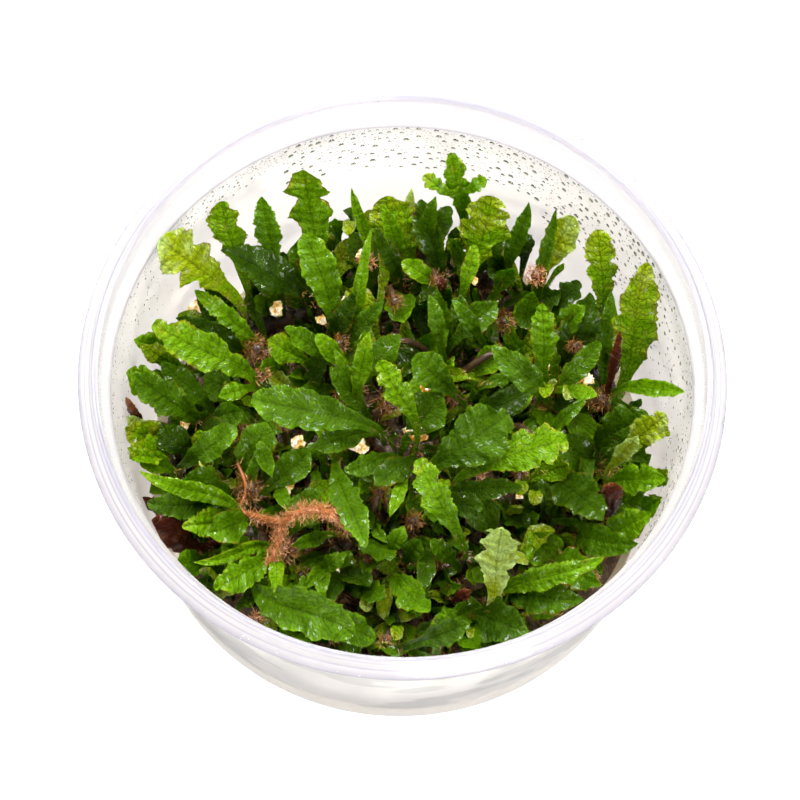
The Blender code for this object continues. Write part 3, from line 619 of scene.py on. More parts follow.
# %% [markdown]
# ## Meshes from arrays
#
# A mesh can be built face by face in edit mode, but a clump holds several hundred thousand
# faces. Here every shape is a few arrays: points, four-cornered faces, three-cornered
# faces, and two values painted on the points. Many shapes are joined by adding up their
# counts, and one function hands the arrays to Blender in one go.

# %% Arrays to meshes
def shape_of(points, quads, tris, leaf=None, vein=None):
    """A shape as plain arrays. The leaf and vein values may be left out."""
    count = points.size // 3
    return {"points": points.reshape(-1, 3), "quads": quads.reshape(-1, 4), "tris": tris.reshape(-1, 3),
            "leaf": np.zeros((count, 4)) if leaf is None else leaf.reshape(-1, 4),
            "vein": np.zeros((count, 2)) if vein is None else vein.reshape(-1, 2)}


def joined(shapes):
    """Several shapes as one."""
    starts = np.cumsum([0] + [len(shape["points"]) for shape in shapes[:-1]])
    whole = {key: np.concatenate([shape[key] for shape in shapes]) for key in ("points", "leaf", "vein")}
    for key in ("quads", "tris"):
        whole[key] = np.concatenate([shape[key] + start for shape, start in zip(shapes, starts)])
    return whole


def mesh_of(name, shape, sharp_degrees):
    """Blender's mesh of a shape given in millimetres, with its painted values."""
    mesh = bpy.data.meshes.new(name)
    mesh.vertices.add(len(shape["points"]))
    mesh.vertices.foreach_set("co", (shape["points"] * MM).ravel())
    corners = np.concatenate([shape["quads"].ravel(), shape["tris"].ravel()])
    fours, threes = len(shape["quads"]), len(shape["tris"])
    mesh.loops.add(len(corners))
    mesh.loops.foreach_set("vertex_index", corners)
    mesh.polygons.add(fours + threes)
    mesh.polygons.foreach_set("loop_start", np.concatenate(
        [np.arange(fours) * 4, fours * 4 + np.arange(threes) * 3]))
    leaf = mesh.attributes.new("leaf", "FLOAT_COLOR", "POINT")
    leaf.data.foreach_set("color", shape["leaf"].astype(np.float32).ravel())
    vein = mesh.uv_layers.new(name="vein")
    vein.data.foreach_set("uv", shape["vein"][corners].astype(np.float32).ravel())
    mesh.update(calc_edges=True)
    mesh.shade_smooth()
    mesh.set_sharp_from_angle(angle=math.radians(sharp_degrees))
    return mesh


def dress(name, shape, material, slot, *nodes, sharp_degrees=60):
    """A piece made of a shape, in place of the plain solids that it stands for."""
    piece = bpy.data.objects.new(name, mesh_of(name, shape, sharp_degrees))
    piece.data.materials.append(material)
    bpy.context.scene.collection.objects.link(piece)
    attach(piece, "root")
    if nodes:
        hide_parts(*nodes)


def skin_faces(rows, around):
    """Faces of a tube of sections, each with the same count of points around it."""
    row, k = np.meshgrid(np.arange(rows - 1), np.arange(around), indexing="ij")
    here, beside = row * around + k, row * around + (k + 1) % around
    return np.stack([here, beside, beside + around, here + around], axis=-1).reshape(-1, 4)


def end_caps(rows, around):
    """Triangles that close both ends of such a tube."""
    k = np.arange(1, around - 1)
    last = (rows - 1) * around
    foot = np.stack([k * 0, k + 1, k], axis=-1)
    top = np.stack([k * 0 + last, last + k, last + k + 1], axis=-1)
    return np.concatenate([foot, top])


def ringed(rings, leaf=None, vein=None):
    """Closed skins through rings of points. Rings hold skin, row and place around."""
    count, rows, around = rings.shape[:3]
    starts = (np.arange(count) * rows * around)[:, None, None]
    return shape_of(rings, skin_faces(rows, around) + starts, end_caps(rows, around) + starts, leaf, vein)


print("faces around a skin of 3 rings of 6 points:", len(skin_faces(3, 6)))

# %% [markdown]
# ## The skin of a frond
#
# Along the blade, the half width of each side follows the same rule as the plain solid,
# with rounder lobes, small teeth, and a little difference between left and right. Across
# the blade, the surface dips at the midrib, swells between the side veins, and waves more
# and more towards the margin, because the margin grew longer than the midrib.

# %% Outline of a blade
STALK_HALF = 0.42
DEEPEST_LOBE = 0.75
TOOTH_STEP = 0.9
RAGGED = 0.3
TOOTH_DEPTH = {"blade": 0.20, "spoon": 0.12, "toothed": 0.44, "lobed": 0.40, "slip": 0.14,
               "paddle": 0.12, "nicked": 0.30, "shred": 0.40, "sprout": 0.14}


def margin(form, width, s, v, blade, chance):
    """Half the width of one side of the blade, with its lobes and teeth."""
    shape = FORMS[form]
    a, b, c = (chance.uniform(0, math.tau) for _ in range(3))
    depth = shape.notch * chance.uniform(0.6, 1.2) * (1 + 0.8 * np.sin(s * chance.uniform(6, 11) + a))
    turn = np.pi * (s * shape.sections - 1) + 1.3 * np.sin(s * 5 + b) * s
    lobes = 1 - np.clip(depth, 0, DEEPEST_LOBE) * (1 - (0.5 + 0.5 * np.cos(turn)) ** 0.5)
    uneven = 1 + 0.09 * np.sin(v * chance.uniform(0.9, 1.6) + c)
    uneven += 0.05 * np.sin(v * chance.uniform(2.2, 3.4) + a)
    cut = ((v / TOOTH_STEP + 0.35 * np.sin(v * 0.9 + b) + chance.random()) % 1.0) - 0.4
    teeth = cut * (0.65 + 0.35 * np.sin(v * chance.uniform(1.1, 1.9) + c))
    teeth += RAGGED * np.array([chance.uniform(-1, 1) for _ in s])
    body = np.maximum((width / 2 - STALK_HALF) * swell_of(form, s) * lobes * uneven, 0.0)
    fade = np.clip((1 - s) * 8, 0, 1) * np.clip(body, 0, 1)
    return STALK_HALF * (1 - s ** 6) + blade * (body + TOOTH_DEPTH[form] * teeth * fade)


print("deepest teeth:", max(TOOTH_DEPTH.values()), "mm")

# %% Frond skin
STALK_ROWS = 6
LAST_ROW = 0.996
WING_SHARE = 0.75
WING_WIDTH = 0.09
BLADE_THICKNESS = 0.26
RIB_HEIGHT = 0.36
GROOVE_DEPTH = 0.16
SIDE_VEIN_STEP = 1.9
VEIN_SLANT = 0.3
LOBE_LEAN = 0.28
LIGHTNESS = {"dark": 0.20, "deep": 0.26, "mid": 0.38, "fresh": 0.44, "bright": 0.60,
             "netted": 0.66, "yellow": 0.80, "pale": 0.97, "dead": 0.5}
PUCKERED = 0.55
RUST = (0.0, 0.0, 0.2, 0.5, 1.0)
SPROUT_GRID = (20, 7)


def frond_skin(frond, axis, width, rows, columns, chance, wild=0.0):
    """One frond as a closed skin, with its painted values. A wild one twists, rolls and hooks more."""
    route, knots, side, reach = axis
    t = np.linspace(0.0, 1.0, rows)
    s = 0.6 * t + 0.4 * np.sin(0.5 * np.pi * t)
    s[-1] = LAST_ROW
    below = min(STALK_ROWS, rows // 5)
    at = np.concatenate([np.linspace(0, knots[1], below, endpoint=False), knots[1] + (1 - knots[1]) * s])
    s = np.concatenate([np.zeros(below), s])
    v = (at - knots[1]) * reach
    down = v[:, None]
    blade = np.clip(1 - (knots[1] - at) / (WING_SHARE * knots[1]), 0, 1)
    blade = blade * blade * (3 - 2 * blade)
    wing = WING_WIDTH * width * blade * np.clip(1 - 2 * s, 0, 1) ** 0.7
    here, ahead, wide, up = sections_of(route, knots, side, at)

    twist = math.radians(chance.uniform(-22, 22) * (1 + 2.2 * wild)) * (s - 0.3) * blade
    wide, up = rolled(wide, up, twist[:, None])
    here = here + wide * (chance.uniform(-0.05, 0.05) * width * np.sin(np.pi * s))[:, None]
    hook = chance.uniform(-1, 1) * (0.03 + 0.12 * wild) * (1 - knots[1]) * reach
    here = here + up * (hook * s ** 3)[:, None]

    u = np.linspace(-1.0, 1.0, columns)
    left, right = (margin(frond.form, width, s, v, blade, chance) + wing for _ in range(2))
    half = np.where(u[None] < 0, left[:, None], right[:, None])
    round_u = np.sin(0.5 * np.pi * u)
    mix = blade[:, None]
    x = half * (u * mix + round_u * (1 - mix))
    out = np.abs(u)[None]

    trough = FORMS[frond.form].trough * (1 + wild * chance.uniform(-1.2, 2.2)) * half * out ** 1.4
    wave = chance.uniform(3.2, 5.0)
    ruffle = 0.055 * width * out ** 2 * (
        np.sin(down * math.tau / wave + chance.uniform(0, 6) + np.sign(u) * chance.uniform(0.4, 1.6))
        + 0.5 * np.sin(down * math.tau / (wave * 0.46) + chance.uniform(0, 6) + np.sign(u)))
    window = np.clip(np.abs(x) / 0.6, 0, 1) * np.clip((1 - out) * 5, 0, 1)
    pucker = chance.uniform(0.5, 1.1) * (1.0 if LIGHTNESS[frond.shade] > PUCKERED else 0.35)
    swollen = np.abs(np.sin(np.pi * (down - 0.8 * np.abs(x)) / SIDE_VEIN_STEP)) - 0.6
    quilt = 0.2 * pucker * swollen * window
    a, b = chance.uniform(0, 6), chance.uniform(0, 6)
    crinkle = 0.17 * np.sin(2.6 * x + 1.9 * down + a) * np.sin(2.1 * down - 1.7 * x + b)
    crinkle += 0.07 * np.sin(5.3 * x + 2.2 * down + b) * np.sin(4.7 * down - 2.9 * x + a)
    groove = GROOVE_DEPTH * np.exp(-(x / 0.3) ** 2)
    fade = np.clip(swell_of(frond.form, s) * 2, 0, 1)[:, None]
    lift = (trough + (ruffle + quilt + crinkle * (0.4 + 0.6 * pucker)) * fade - groove) * mix

    thin = 0.5 * BLADE_THICKNESS * (1 - 0.55 * out ** 2) * np.clip((1 - s[:, None]) * 12, 0.15, 1)
    rib = RIB_HEIGHT * np.exp(-(x / 0.32) ** 2) * (1 - 0.8 * s[:, None])
    stalk = STALK_HALF * 0.8 * np.sqrt(np.maximum(1 - round_u ** 2, 0.0))[None] * (1 - mix)
    lean = LOBE_LEAN * out * (width / 2) * (np.sin(np.pi * np.minimum(s / 0.92, 1.0)) ** 0.8 * blade)[:, None]
    base = here[:, None] + wide[:, None] * x[..., None] + ahead[:, None] * lean[..., None]
    top = base + up[:, None] * (lift + stalk + thin * mix)[..., None]
    bottom = base + up[:, None] * (lift - stalk - (thin + rib) * mix)[..., None]
    for edge in (0, -1):
        top[:, edge] = (top[:, edge] + bottom[:, edge]) / 2
    rings = within_wall(np.concatenate([top, bottom[:, -2:0:-1]], axis=1))

    ring_u = np.concatenate([u, u[-2:0:-1]])
    ring_x = np.concatenate([x, x[:, -2:0:-1]], axis=1)
    leaf = np.empty((*rings.shape[:2], 4))
    leaf[..., 0] = ring_u * 0.5 + 0.5
    leaf[..., 1] = s[:, None]
    leaf[..., 2] = np.clip(LIGHTNESS[frond.shade] + chance.uniform(-0.08, 0.08), 0, 1)
    leaf[..., 3] = chance.choice(RUST)
    shift = chance.uniform(0, 90)
    vein = np.stack([ring_x + shift, down - VEIN_SLANT * np.abs(ring_x) + shift], axis=-1)
    return ringed(rings[None], leaf, vein)


def skins_of(fronds, grid, seeds, wild):
    """Many fronds as one shape. Each is a frond with its axis and its width."""
    skins = []
    for (frond, axis, width), seed in zip(fronds, seeds):
        rows, columns = SPROUT_GRID if frond.form == "sprout" else grid
        skins.append(frond_skin(frond, axis, width, rows, columns, random.Random(seed), wild))
    return joined(skins)


print("a frond's painted values: place across, place along, lightness, rust")

# %% [markdown]
# ## Living leaf
#
# A leaf is a thin wet sheet: part of the light bounces off its surface, part scatters
# and comes out on the other side in a yellower green. Subsurface scattering could do
# both but is slow on a thousand thin sheets, so the plain surface is mixed with a
# see-through-diffuse one. Fern veins form a net of about 1 mm meshes. It shows best in
# the light that comes through, so it is drawn stronger there. Margins are thin and pale,
# and some are rusty. The leaf is wet: a coat with the IOR of water gives the small white
# glints, and the skin below it is only half glossy.

# %% Leaf materials
NET_MESH = 1.0
GRAIN = 0.5
BLOTCH = 3.2
RIPPLE = 1.4
NETTED_SHADE = 0.74
MIDDLE = 0.5
WATER_IOR = 1.33
FILM_ROUGHNESS = 0.04
LEAF_ROUGHNESS = (0.28, 0.54)
LEAF_COLOURS = ((0.0, "1a2e00"), (0.2, "314b00"), (0.45, "4b6e00"), (0.65, "688f02"),
                (0.84, "88960c"), (1.0, "a4b864"))
GLOW_COLOURS = ((0.0, "427200"), (0.45, "7ab200"), (0.65, "98ca04"), (0.84, "b6c410"), (1.0, "c8e084"))


def colour_ramp(tree, factor, stops):
    """A ramp node between hex colours."""
    ramp = add_node(tree, "ValToRGB", {"Fac": factor})
    points = ramp.color_ramp.elements
    while len(points) < len(stops):
        points.new(0.5)
    for point, (place, colour) in zip(points, stops):
        point.position = place
        point.color = linear(colour)
    return ramp


def leaf_material(name, colours, glow, through):
    """Thin leaf tissue, painted by the values that each frond carries."""
    material, tree = new_material(name)
    across, along, lightness, rusting = painted(tree)
    grid = add_node(tree, "UVMap", {"uv_map": "vein"})
    net = add_node(tree, "TexVoronoi", {"voronoi_dimensions": "2D", "feature": "DISTANCE_TO_EDGE",
                                        "Scale": 1 / NET_MESH, "Vector": grid})
    grain, blotch, ripple = (speckle(tree, grid, 1 / size, detail, noise_dimensions="2D")
                             for size, detail in ((GRAIN, 4.0), (BLOTCH, 4.0), (RIPPLE, 0.0)))
    from_rib = calc(tree, "ABSOLUTE", calc(tree, "SUBTRACT", across, MIDDLE))

    lighter = calc(tree, "ADD", spread(tree, from_rib, 0.36, 0.5, 0.0, 0.14),
                   spread(tree, along, 0.1, 1.0, 0.0, 0.18))
    shift = calc(tree, "ADD", lighter, calc(tree, "MULTIPLY_ADD", blotch, 0.5, -0.37))
    shade = calc(tree, "ADD", lightness, shift, clamp=True)

    off_netted = calc(tree, "ABSOLUTE", calc(tree, "SUBTRACT", lightness, NETTED_SHADE))
    net_line = spread(tree, net, 0.0, 0.2, spread(tree, off_netted, 0.06, 0.17, 0.5, 0.9), 1.06)
    faint_line = spread(tree, net_line, 0.45, 1.06, 0.8, 1.02)
    lines = calc(tree, "MULTIPLY", spread(tree, grain, 0.3, 0.7, 0.74, 1.2),
                 spread(tree, from_rib, 0.01, 0.045, 0.68, 1.0))

    rust = calc(tree, "MULTIPLY", spread(tree, from_rib, 0.44, 0.49), rusting)
    spots = spread(tree, calc(tree, "MULTIPLY", blotch, grain), 0.22, 0.30)
    rusty = calc(tree, "MULTIPLY", rust, spots, clamp=True)

    mixes = []
    for ramp, browned, veins in ((colours, "6e3c10", faint_line), (glow, "a06418", net_line)):
        lined = mixed(tree, 1.0, colour_ramp(tree, shade, ramp), calc(tree, "MULTIPLY", lines, veins),
                      "MULTIPLY")
        mixes.append(mixed(tree, rusty, lined, linear(browned)))

    bump = relief(tree, calc(tree, "MULTIPLY_ADD", net_line, 0.8, grain), 0.9, 0.34)
    wet = spread(tree, calc(tree, "MULTIPLY_ADD", from_rib, 0.5, blotch), 0.56, 0.66)
    sheet = add_node(tree, "BsdfPrincipled", {
        "Base Color": mixes[0], "Roughness": spread(tree, blotch, 0.3, 0.7, *LEAF_ROUGHNESS),
        "IOR": WATER_IOR, "Specular IOR Level": 0.14, "Normal": bump, "Coat Weight": wet,
        "Coat Roughness": FILM_ROUGHNESS, "Coat IOR": WATER_IOR,
        "Coat Normal": relief(tree, ripple, 1.0, 0.7)})
    passed = add_node(tree, "BsdfTranslucent", {"Color": mixes[1], "Normal": bump})
    both = add_node(tree, "MixShader", {0: through, 1: sheet, 2: passed})
    add_node(tree, "OutputMaterial", {"Surface": both})
    return material


DEAD_COLOURS = ((0.0, "140905"), (0.5, "40190c"), (1.0, "92501f"))
DEAD_GLOW = ((0.0, "4a1d0c"), (1.0, "8a4a22"))
live_leaf = leaf_material("wet living leaf", LEAF_COLOURS, GLOW_COLOURS, through=0.42)
dead_leaf = leaf_material("wet dead leaf", DEAD_COLOURS, DEAD_GLOW, through=0.2)
print("materials:", live_leaf.name, "and", dead_leaf.name)

# %% Grown fronds
FORKED = "frond_08"
ARMS = (((447, 192, 37.5), (423, 176, 40.0), 2.8), ((468, 190, 36.5), (487, 180, 38.5), 2.6))
GROWN_GRID = (62, 15)
ARM_GRID = (26, 9)
faces = 0
for number, (node, fronds) in enumerate(settled.items()):
    if not node.startswith(("frond", "dead")):
        continue
    frond, axis, width = fronds[0]
    skin = frond_skin(frond, axis, width, *GROWN_GRID, random.Random(100 + number))
    if node == FORKED:
        fork = smooth_point(axis[0][1:], 0.5)
        for k, (bend, end, broad) in enumerate(ARMS):
            arm = Frond("", "lobed", (), (), broad, 0.0, "bright")
            route = axis_through(fork, seen_at(*bend), seen_at(*end), 0.3, 10)
            skin = joined([skin, frond_skin(arm, route, broad, *ARM_GRID, random.Random(60 + k))])
    dead = node.startswith("dead")
    dress(node.replace("frond", "leaf"), skin, dead_leaf if dead else live_leaf,
          "dead_tissue" if dead else "frond_tissue", node)
    faces += len(skin["quads"])
print("grown fronds:", faces, "faces")

# %% [markdown]
# ## Rhizomes and their young fronds
#
# The rhizome is the fern's creeping stem. It is dark, ringed with the scars of old
# stalks, and hidden under brown hairs. The young fronds on it are one growth with it,
# so each plain solid holds both. Here they are two pieces, because their skins differ.

# %% Rhizome stems
STEM_ROWS = 60
STEM_SIDES = 14


def stem_skin(path, seed):
    """A lumpy stem along a rhizome's path, with blunt ends and low scars."""
    chance = random.Random(seed)
    places = np.linspace(0.0, 1.0, STEM_ROWS)
    middle = np.array([smooth_point(path, p) for p in places])
    ahead = unit(np.gradient(middle, axis=0))
    across = unit(np.cross(ahead, (0.0, 0.0, 1.0)))
    over = np.cross(across, ahead)
    turn = turns(STEM_SIDES)
    ends = np.clip(np.minimum(places, 1 - places) * 14, 0.0, 1.0)
    blunt = np.sqrt(1 - (1 - ends) ** 2) * 0.9 + 0.1
    a, b, c = (chance.uniform(0, 6) for _ in range(3))
    down = places[:, None]
    lumps = (1 + 0.08 * np.sin(down * 70 + a + 2 * turn) + 0.07 * np.sin(down * 37 + 3 * turn + b)
             + 0.05 * np.sin(down * 150 + c))
    radius = RHIZOME_RADIUS * 0.92 * blunt[:, None] * lumps
    rings = middle[:, None] + radius[..., None] * (across[:, None] * np.cos(turn)[:, None]
                                                   - over[:, None] * np.sin(turn)[:, None])
    return ringed(rings[None])


print("a stem:", len(stem_skin(RHIZOMES["A"], 1)["points"]), "points")

# %% Wet brown materials
WET_LUMPS = 800.0


def earthy_material(name, colours, scale, roughness, coat):
    """A dark wet plant skin, mottled and rough at one scale, which counts spots in a metre."""
    material, tree = new_material(name)
    place = add_node(tree, "TexCoord").outputs["Object"]
    mottle = speckle(tree, place, scale, 5.0, Roughness=0.65)
    skin = add_node(tree, "BsdfPrincipled", {
        "Base Color": colour_ramp(tree, mottle, colours), "Roughness": roughness, "IOR": 1.42,
        "Normal": relief(tree, mottle, 0.7, 0.4), "Coat Weight": coat, "Coat Roughness": FILM_ROUGHNESS,
        "Coat IOR": WATER_IOR, "Coat Normal": relief(tree, speckle(tree, place, WET_LUMPS, 0.0), 1.0, 0.9)})
    add_node(tree, "OutputMaterial", {"Surface": skin})
    return material


RHIZOME_COLOURS = ((0.3, "1a1008"), (0.55, "38220f"), (0.75, "4a3e18"))
TANGLE_COLOURS = ((0.3, "1e1206"), (0.5, "46300f"), (0.7, "7a561c"))
stem_bark = earthy_material("wet rhizome", RHIZOME_COLOURS, scale=900.0, roughness=0.5, coat=0.6)
tangle = earthy_material("wet root tangle", TANGLE_COLOURS, scale=1200.0, roughness=0.6, coat=0.5)
print("materials:", stem_bark.name, "and", tangle.name)

# %% Stems and young fronds
YOUNG_GRID = (30, 9)
YOUNG_WILD = 0.4
for number, key in enumerate(RHIZOMES, start=1):
    node = f"rhizome_{number:02d}"
    dress(f"stem_{number:02d}", stem_skin(RHIZOMES[key], number), stem_bark, "rhizome_skin", node)
    young = skins_of(settled[node], YOUNG_GRID, itertools.count(number * 100), YOUNG_WILD)
    dress(f"young_leaves_{number:02d}", young, live_leaf, "frond_tissue", node)
print("stems and young fronds:", len(RHIZOMES), "of each")

# %% [markdown]
# ## Turned shapes
#
# The cup is moulded in one shot, with a seat for a lid and a skirt that turns down. Its
# mould is turned on a lathe, so here too a section is turned about the upright axis.
# Moulds have no knife-sharp corners: one helper rounds every corner of a section.

# %% Turned shapes
CUP_SIDES = 168


def closed_disc(rings, first_height, last_height):
    """A closed skin through rings about the upright axis, which starts and ends on it."""
    rows, sides = rings.shape[:2]
    points = np.concatenate([rings.reshape(-1, 3), [(0, 0, first_height), (0, 0, last_height)]])
    k = np.arange(sides)
    after = (k + 1) % sides
    first, last, end = rows * sides, rows * sides + 1, (rows - 1) * sides
    tris = np.concatenate([np.stack([k * 0 + first, k, after], axis=-1),
                           np.stack([k * 0 + last, end + after, end + k], axis=-1)])
    return shape_of(points, skin_faces(rows, sides)[:, ::-1], tris)


def turned(profile, sides):
    """A closed skin turned from a section that starts and ends on the axis."""
    radii, heights = (np.array([corner[k] for corner in profile[1:-1]])[:, None] for k in (0, 1))
    turn = turns(sides)
    rings = np.stack([radii * np.cos(turn), radii * np.sin(turn), np.repeat(heights, sides, axis=1)], axis=-1)
    return closed_disc(rings, profile[0][1], profile[-1][1])


def rounded(corners, radius=0.35, steps=3):
    """A section with its inner corners rounded off."""
    out = [corners[0]]
    for corner_set in zip(corners, corners[1:], corners[2:]):
        before, corner, after = (Vector(values) for values in corner_set)
        back, on = before - corner, after - corner
        cut = min(radius, 0.45 * back.xy.length, 0.45 * on.xy.length)
        start, end = corner + back * (cut / back.xy.length), corner + on * (cut / on.xy.length)
        for k in range(steps + 1):
            t = k / steps
            out.append(tuple((1 - t) ** 2 * start + 2 * t * (1 - t) * corner + t * t * end))
    return out + [corners[-1]]


print("inside radius at the gel:", round(inner_radius(GEL_TOP), 2))

# %% [markdown]
# ## The cup
#
# Polypropylene is clear but slightly milky, and the breath of the plants has fogged this
# cup. Its thick edges look violet, because the eye looks along the plastic there. Here
# that look is painted shade: a greyish violet painted on the corners of the section. Each
# corner carries both values: how fogged it is and how much painted violet shade it has.
# Below the gel's surface the wet jelly touches the wall and clears the fog. Above it the
# film of water has run together in smooth patches, which are painted grey as painted
# shade. Fog sends light on as well as back, so the clear plastic is mixed with a
# see-through-diffuse part.

# %% Cup section: radius, height, fog, painted violet shade
# The width of each painted line of violet shade, and the faint violet shade painted on the plain plastic
# beside it.
LINE = 0.18
FAINT_SHADE = 0.26
SKIRT_RIBS = (0.3, 0.62)


def lined(radius, height, fog, line_shade):
    """A corner that shows as one thin line of painted violet shade, with plain plastic on both sides."""
    return [(radius - LINE, height + 0.7 * LINE, fog, FAINT_SHADE), (radius, height, fog, line_shade),
            (radius + LINE, height - 0.7 * LINE, fog, FAINT_SHADE)]


# The last value of each corner is how much violet is painted on it, as painted shade along the thick edges.
cup_corners = [
    (0.0, FLOOR, 0.4, 0.0), (*INNER_WALL[0], 0.4, 0.0), (*INNER_WALL[1], 0.5, 0.0),
    (LEDGE_RADIUS - 0.03, LEDGE_HEIGHT - LINE, 0.55, 0.0), (LEDGE_RADIUS, LEDGE_HEIGHT, 0.2, 0.8),
    (LEDGE_RADIUS + LINE, LEDGE_HEIGHT + 1.5 * LINE, 0.1, 0.0), (*INNER_WALL[3], 0.2, 0.1),
    (*INNER_WALL[4], 0.3, FAINT_SHADE), (RIDGE_RADIUS, CUP_HEIGHT, 0.5, 1.0)]
for share in SKIRT_RIBS:
    cup_corners += lined(RIDGE_RADIUS + (RIM_RADIUS - 0.3 - RIDGE_RADIUS) * share,
                         CUP_HEIGHT + (RIM_HEIGHT + 0.6 - CUP_HEIGHT) * share, 0.45, 0.8)
cup_corners += [
    (RIM_RADIUS, RIM_HEIGHT + 0.3, 0.4, 0.7), (RIM_RADIUS - 0.3, RIM_HEIGHT - 0.3, 0.4, 0.4),
    (SEAT_RADIUS + 1.1, CUP_HEIGHT - 1.9, 0.3, FAINT_SHADE), (SEAT_RADIUS + 0.8, LEDGE_HEIGHT + 1.6, 0.3, 0.2),
    (LEDGE_RADIUS + WALL, LEDGE_HEIGHT - 0.6, 0.75, 0.3), (LEDGE_RADIUS + 0.6, LEDGE_HEIGHT - 2.6, 0.75, 0.0),
    (inner_radius(GEL_TOP) + WALL, GEL_TOP + 0.5, 0.8, 0.15),
    (inner_radius(GEL_TOP) + WALL, GEL_TOP - 0.5, 0.65, 0.0),
    (FOOT_RADIUS, 2.8, 0.6, 0.0), (FOOT_RADIUS - 1.0, 1.2, 0.45, 1.0), (FOOT_RADIUS - 2.0, 0.0, 0.45, 0.6),
    (0.0, 0.0, 0.4, 0.0)]
cup_profile = rounded(cup_corners)
cup_skin = turned(cup_profile, CUP_SIDES)
# Each ring of the skin carries its corner's fog and its painted violet shade.
for ring, (_, _, fog, line_shade) in enumerate(cup_profile[1:-1]):
    cup_skin["leaf"][ring * CUP_SIDES:(ring + 1) * CUP_SIDES, :2] = fog, line_shade
cup_skin["leaf"][-2:, 0] = cup_corners[0][2]
print("rings of the cup:", len(cup_profile) - 2)

# %% Fogged clear polypropylene
PATCH_WIDTH = 19.0
PATCH_HEIGHT = 7.5
PLASTIC_IOR = 1.49
cup_material, tree = new_material("fogged clear polypropylene")
fogging, line_shade_share, _, _ = painted(tree)
place = add_node(tree, "TexCoord").outputs["Object"]
patch_scale = (1 / PATCH_WIDTH / MM, 1 / PATCH_WIDTH / MM, 1 / PATCH_HEIGHT / MM)
squashed = add_node(tree, "Mapping", {"Scale": patch_scale, "Vector": place})
# Smooth patches of grey painted on the fogged wall, as painted shade where the film of water ran together.
patch = spread(tree, speckle(tree, squashed, 1.0, 4.0, Roughness=0.5), 0.52, 0.57)
painted_grey_shade = calc(tree, "MULTIPLY", patch, spread(tree, fogging, 0.62, 0.74))
wall_and_shade_colour = mixed(tree, painted_grey_shade, linear("faf6f2"), linear("e0ddda"))
# A greyish violet painted on the corners, as painted shade along the thick edges.
line_shade_colour = mixed(tree, line_shade_share, wall_and_shade_colour, linear("9b9ab4"))
plastic = add_node(tree, "BsdfPrincipled", {
    "Base Color": line_shade_colour, "IOR": PLASTIC_IOR, "Roughness": spread(tree, fogging, 0.0, 1.0, 0.02, 0.3),
    "Transmission Weight": spread(tree, fogging, 0.0, 1.0, 0.97, 0.5)})
mist = add_node(tree, "BsdfTranslucent", {"Color": line_shade_colour})
misted = add_node(tree, "MixShader", {0: calc(tree, "MULTIPLY", fogging, 0.62), 1: plastic, 2: mist})
add_node(tree, "OutputMaterial", {"Surface": misted})
dress("clear_cup", cup_skin, cup_material, "cup_plastic", "cup", sharp_degrees=40)
print("cup patches:", PATCH_WIDTH, "by", PATCH_HEIGHT, "mm")

# %% [markdown]
# ## The gel and the root mat
#
# Agar jelly is nine tenths water, so its IOR is near water's. It scatters a little light
# and looks cloudy cream. It fills the foot of the cup, with a low meniscus at the wall.
# The felt of roots on it is one lumpy disc, on which the fine roots and hairs are laid.

# %% Gel
GEL_IOR = 1.34
gel_edge = [(inner_radius(z) - 2 * GAP, z) for z in (GEL_TOP, FLOOR + 2.4, FLOOR + GAP)]
gel_corners = [(0.0, GEL_TOP - 0.3), (gel_edge[0][0] - 2.5, GEL_TOP - 0.3),
               (gel_edge[0][0] - 0.8, GEL_TOP - 0.15), *gel_edge, (0.0, FLOOR + GAP)]
gel_material, tree = new_material("agar gel")
jelly = add_node(tree, "BsdfPrincipled", {"Base Color": linear("f3e6c4"), "Roughness": 0.2, "IOR": GEL_IOR,
                                          "Transmission Weight": 0.5})
add_node(tree, "OutputMaterial", {"Surface": jelly})
dress("gel_layer", turned(rounded(gel_corners), CUP_SIDES), gel_material, "culture_gel", "culture_gel",
      sharp_degrees=40)
print("gel up to", GEL_TOP, "mm")

# %% Root mat
MAT_RINGS = 36
MAT_SIDES = 144
MAT_LOW = GEL_TOP + GAP
mat_radius = inner_radius(GEL_TOP) - 2.2


def mat_top(x, y):
    """The height of the root mat at a place."""
    lump = noise.fractal(Vector((x * 0.16, y * 0.16, 0.5)), 1.0, 2.0, 4)
    return MAT_TOP - 0.9 + 1.1 * lump + 0.35 * noise.noise(Vector((x * 1.3, y * 1.3, 7.0)))


def mat_skin():
    """A lumpy disc: rings of points whose height and edge follow noise."""
    rings = np.empty((MAT_RINGS + 1, MAT_SIDES, 3))
    for row, part in enumerate(np.linspace(1, 0, MAT_RINGS, endpoint=False)[::-1]):
        for k, angle in enumerate(turns(MAT_SIDES)):
            edge = mat_radius + noise.noise(Vector((math.cos(angle) * 4, math.sin(angle) * 4, 3)))
            x, y = edge * part * math.cos(angle), edge * part * math.sin(angle)
            round_off = math.sqrt(max(1 - part ** 8, 0.0))
            rings[row, k] = x, y, MAT_LOW + (mat_top(x, y) - MAT_LOW) * round_off
    rings[-1] = rings[-2] * (0.985, 0.985, 0.0) + (0.0, 0.0, MAT_LOW - 0.05)
    rings[-2, :, 2] += 0.15
    return closed_disc(rings, rings[0, :, 2].mean(), MAT_LOW - 0.05)


dress("root_tangle", mat_skin(), tangle, "root_tangle", "root_mat", sharp_degrees=80)
print("mat radius:", round(mat_radius, 1))

# %% [markdown]
# ## The low storey
#
# Between the grown fronds the clump is full of younger ones, down to specks of two or
# three millimetres. They are too many and too small for solids of their own, so they
# are drawn by rule: spots on a golden-angle spiral, which fills a disc without rows, a
# lean in any direction, mostly outwards, and clearings where the picture has none.

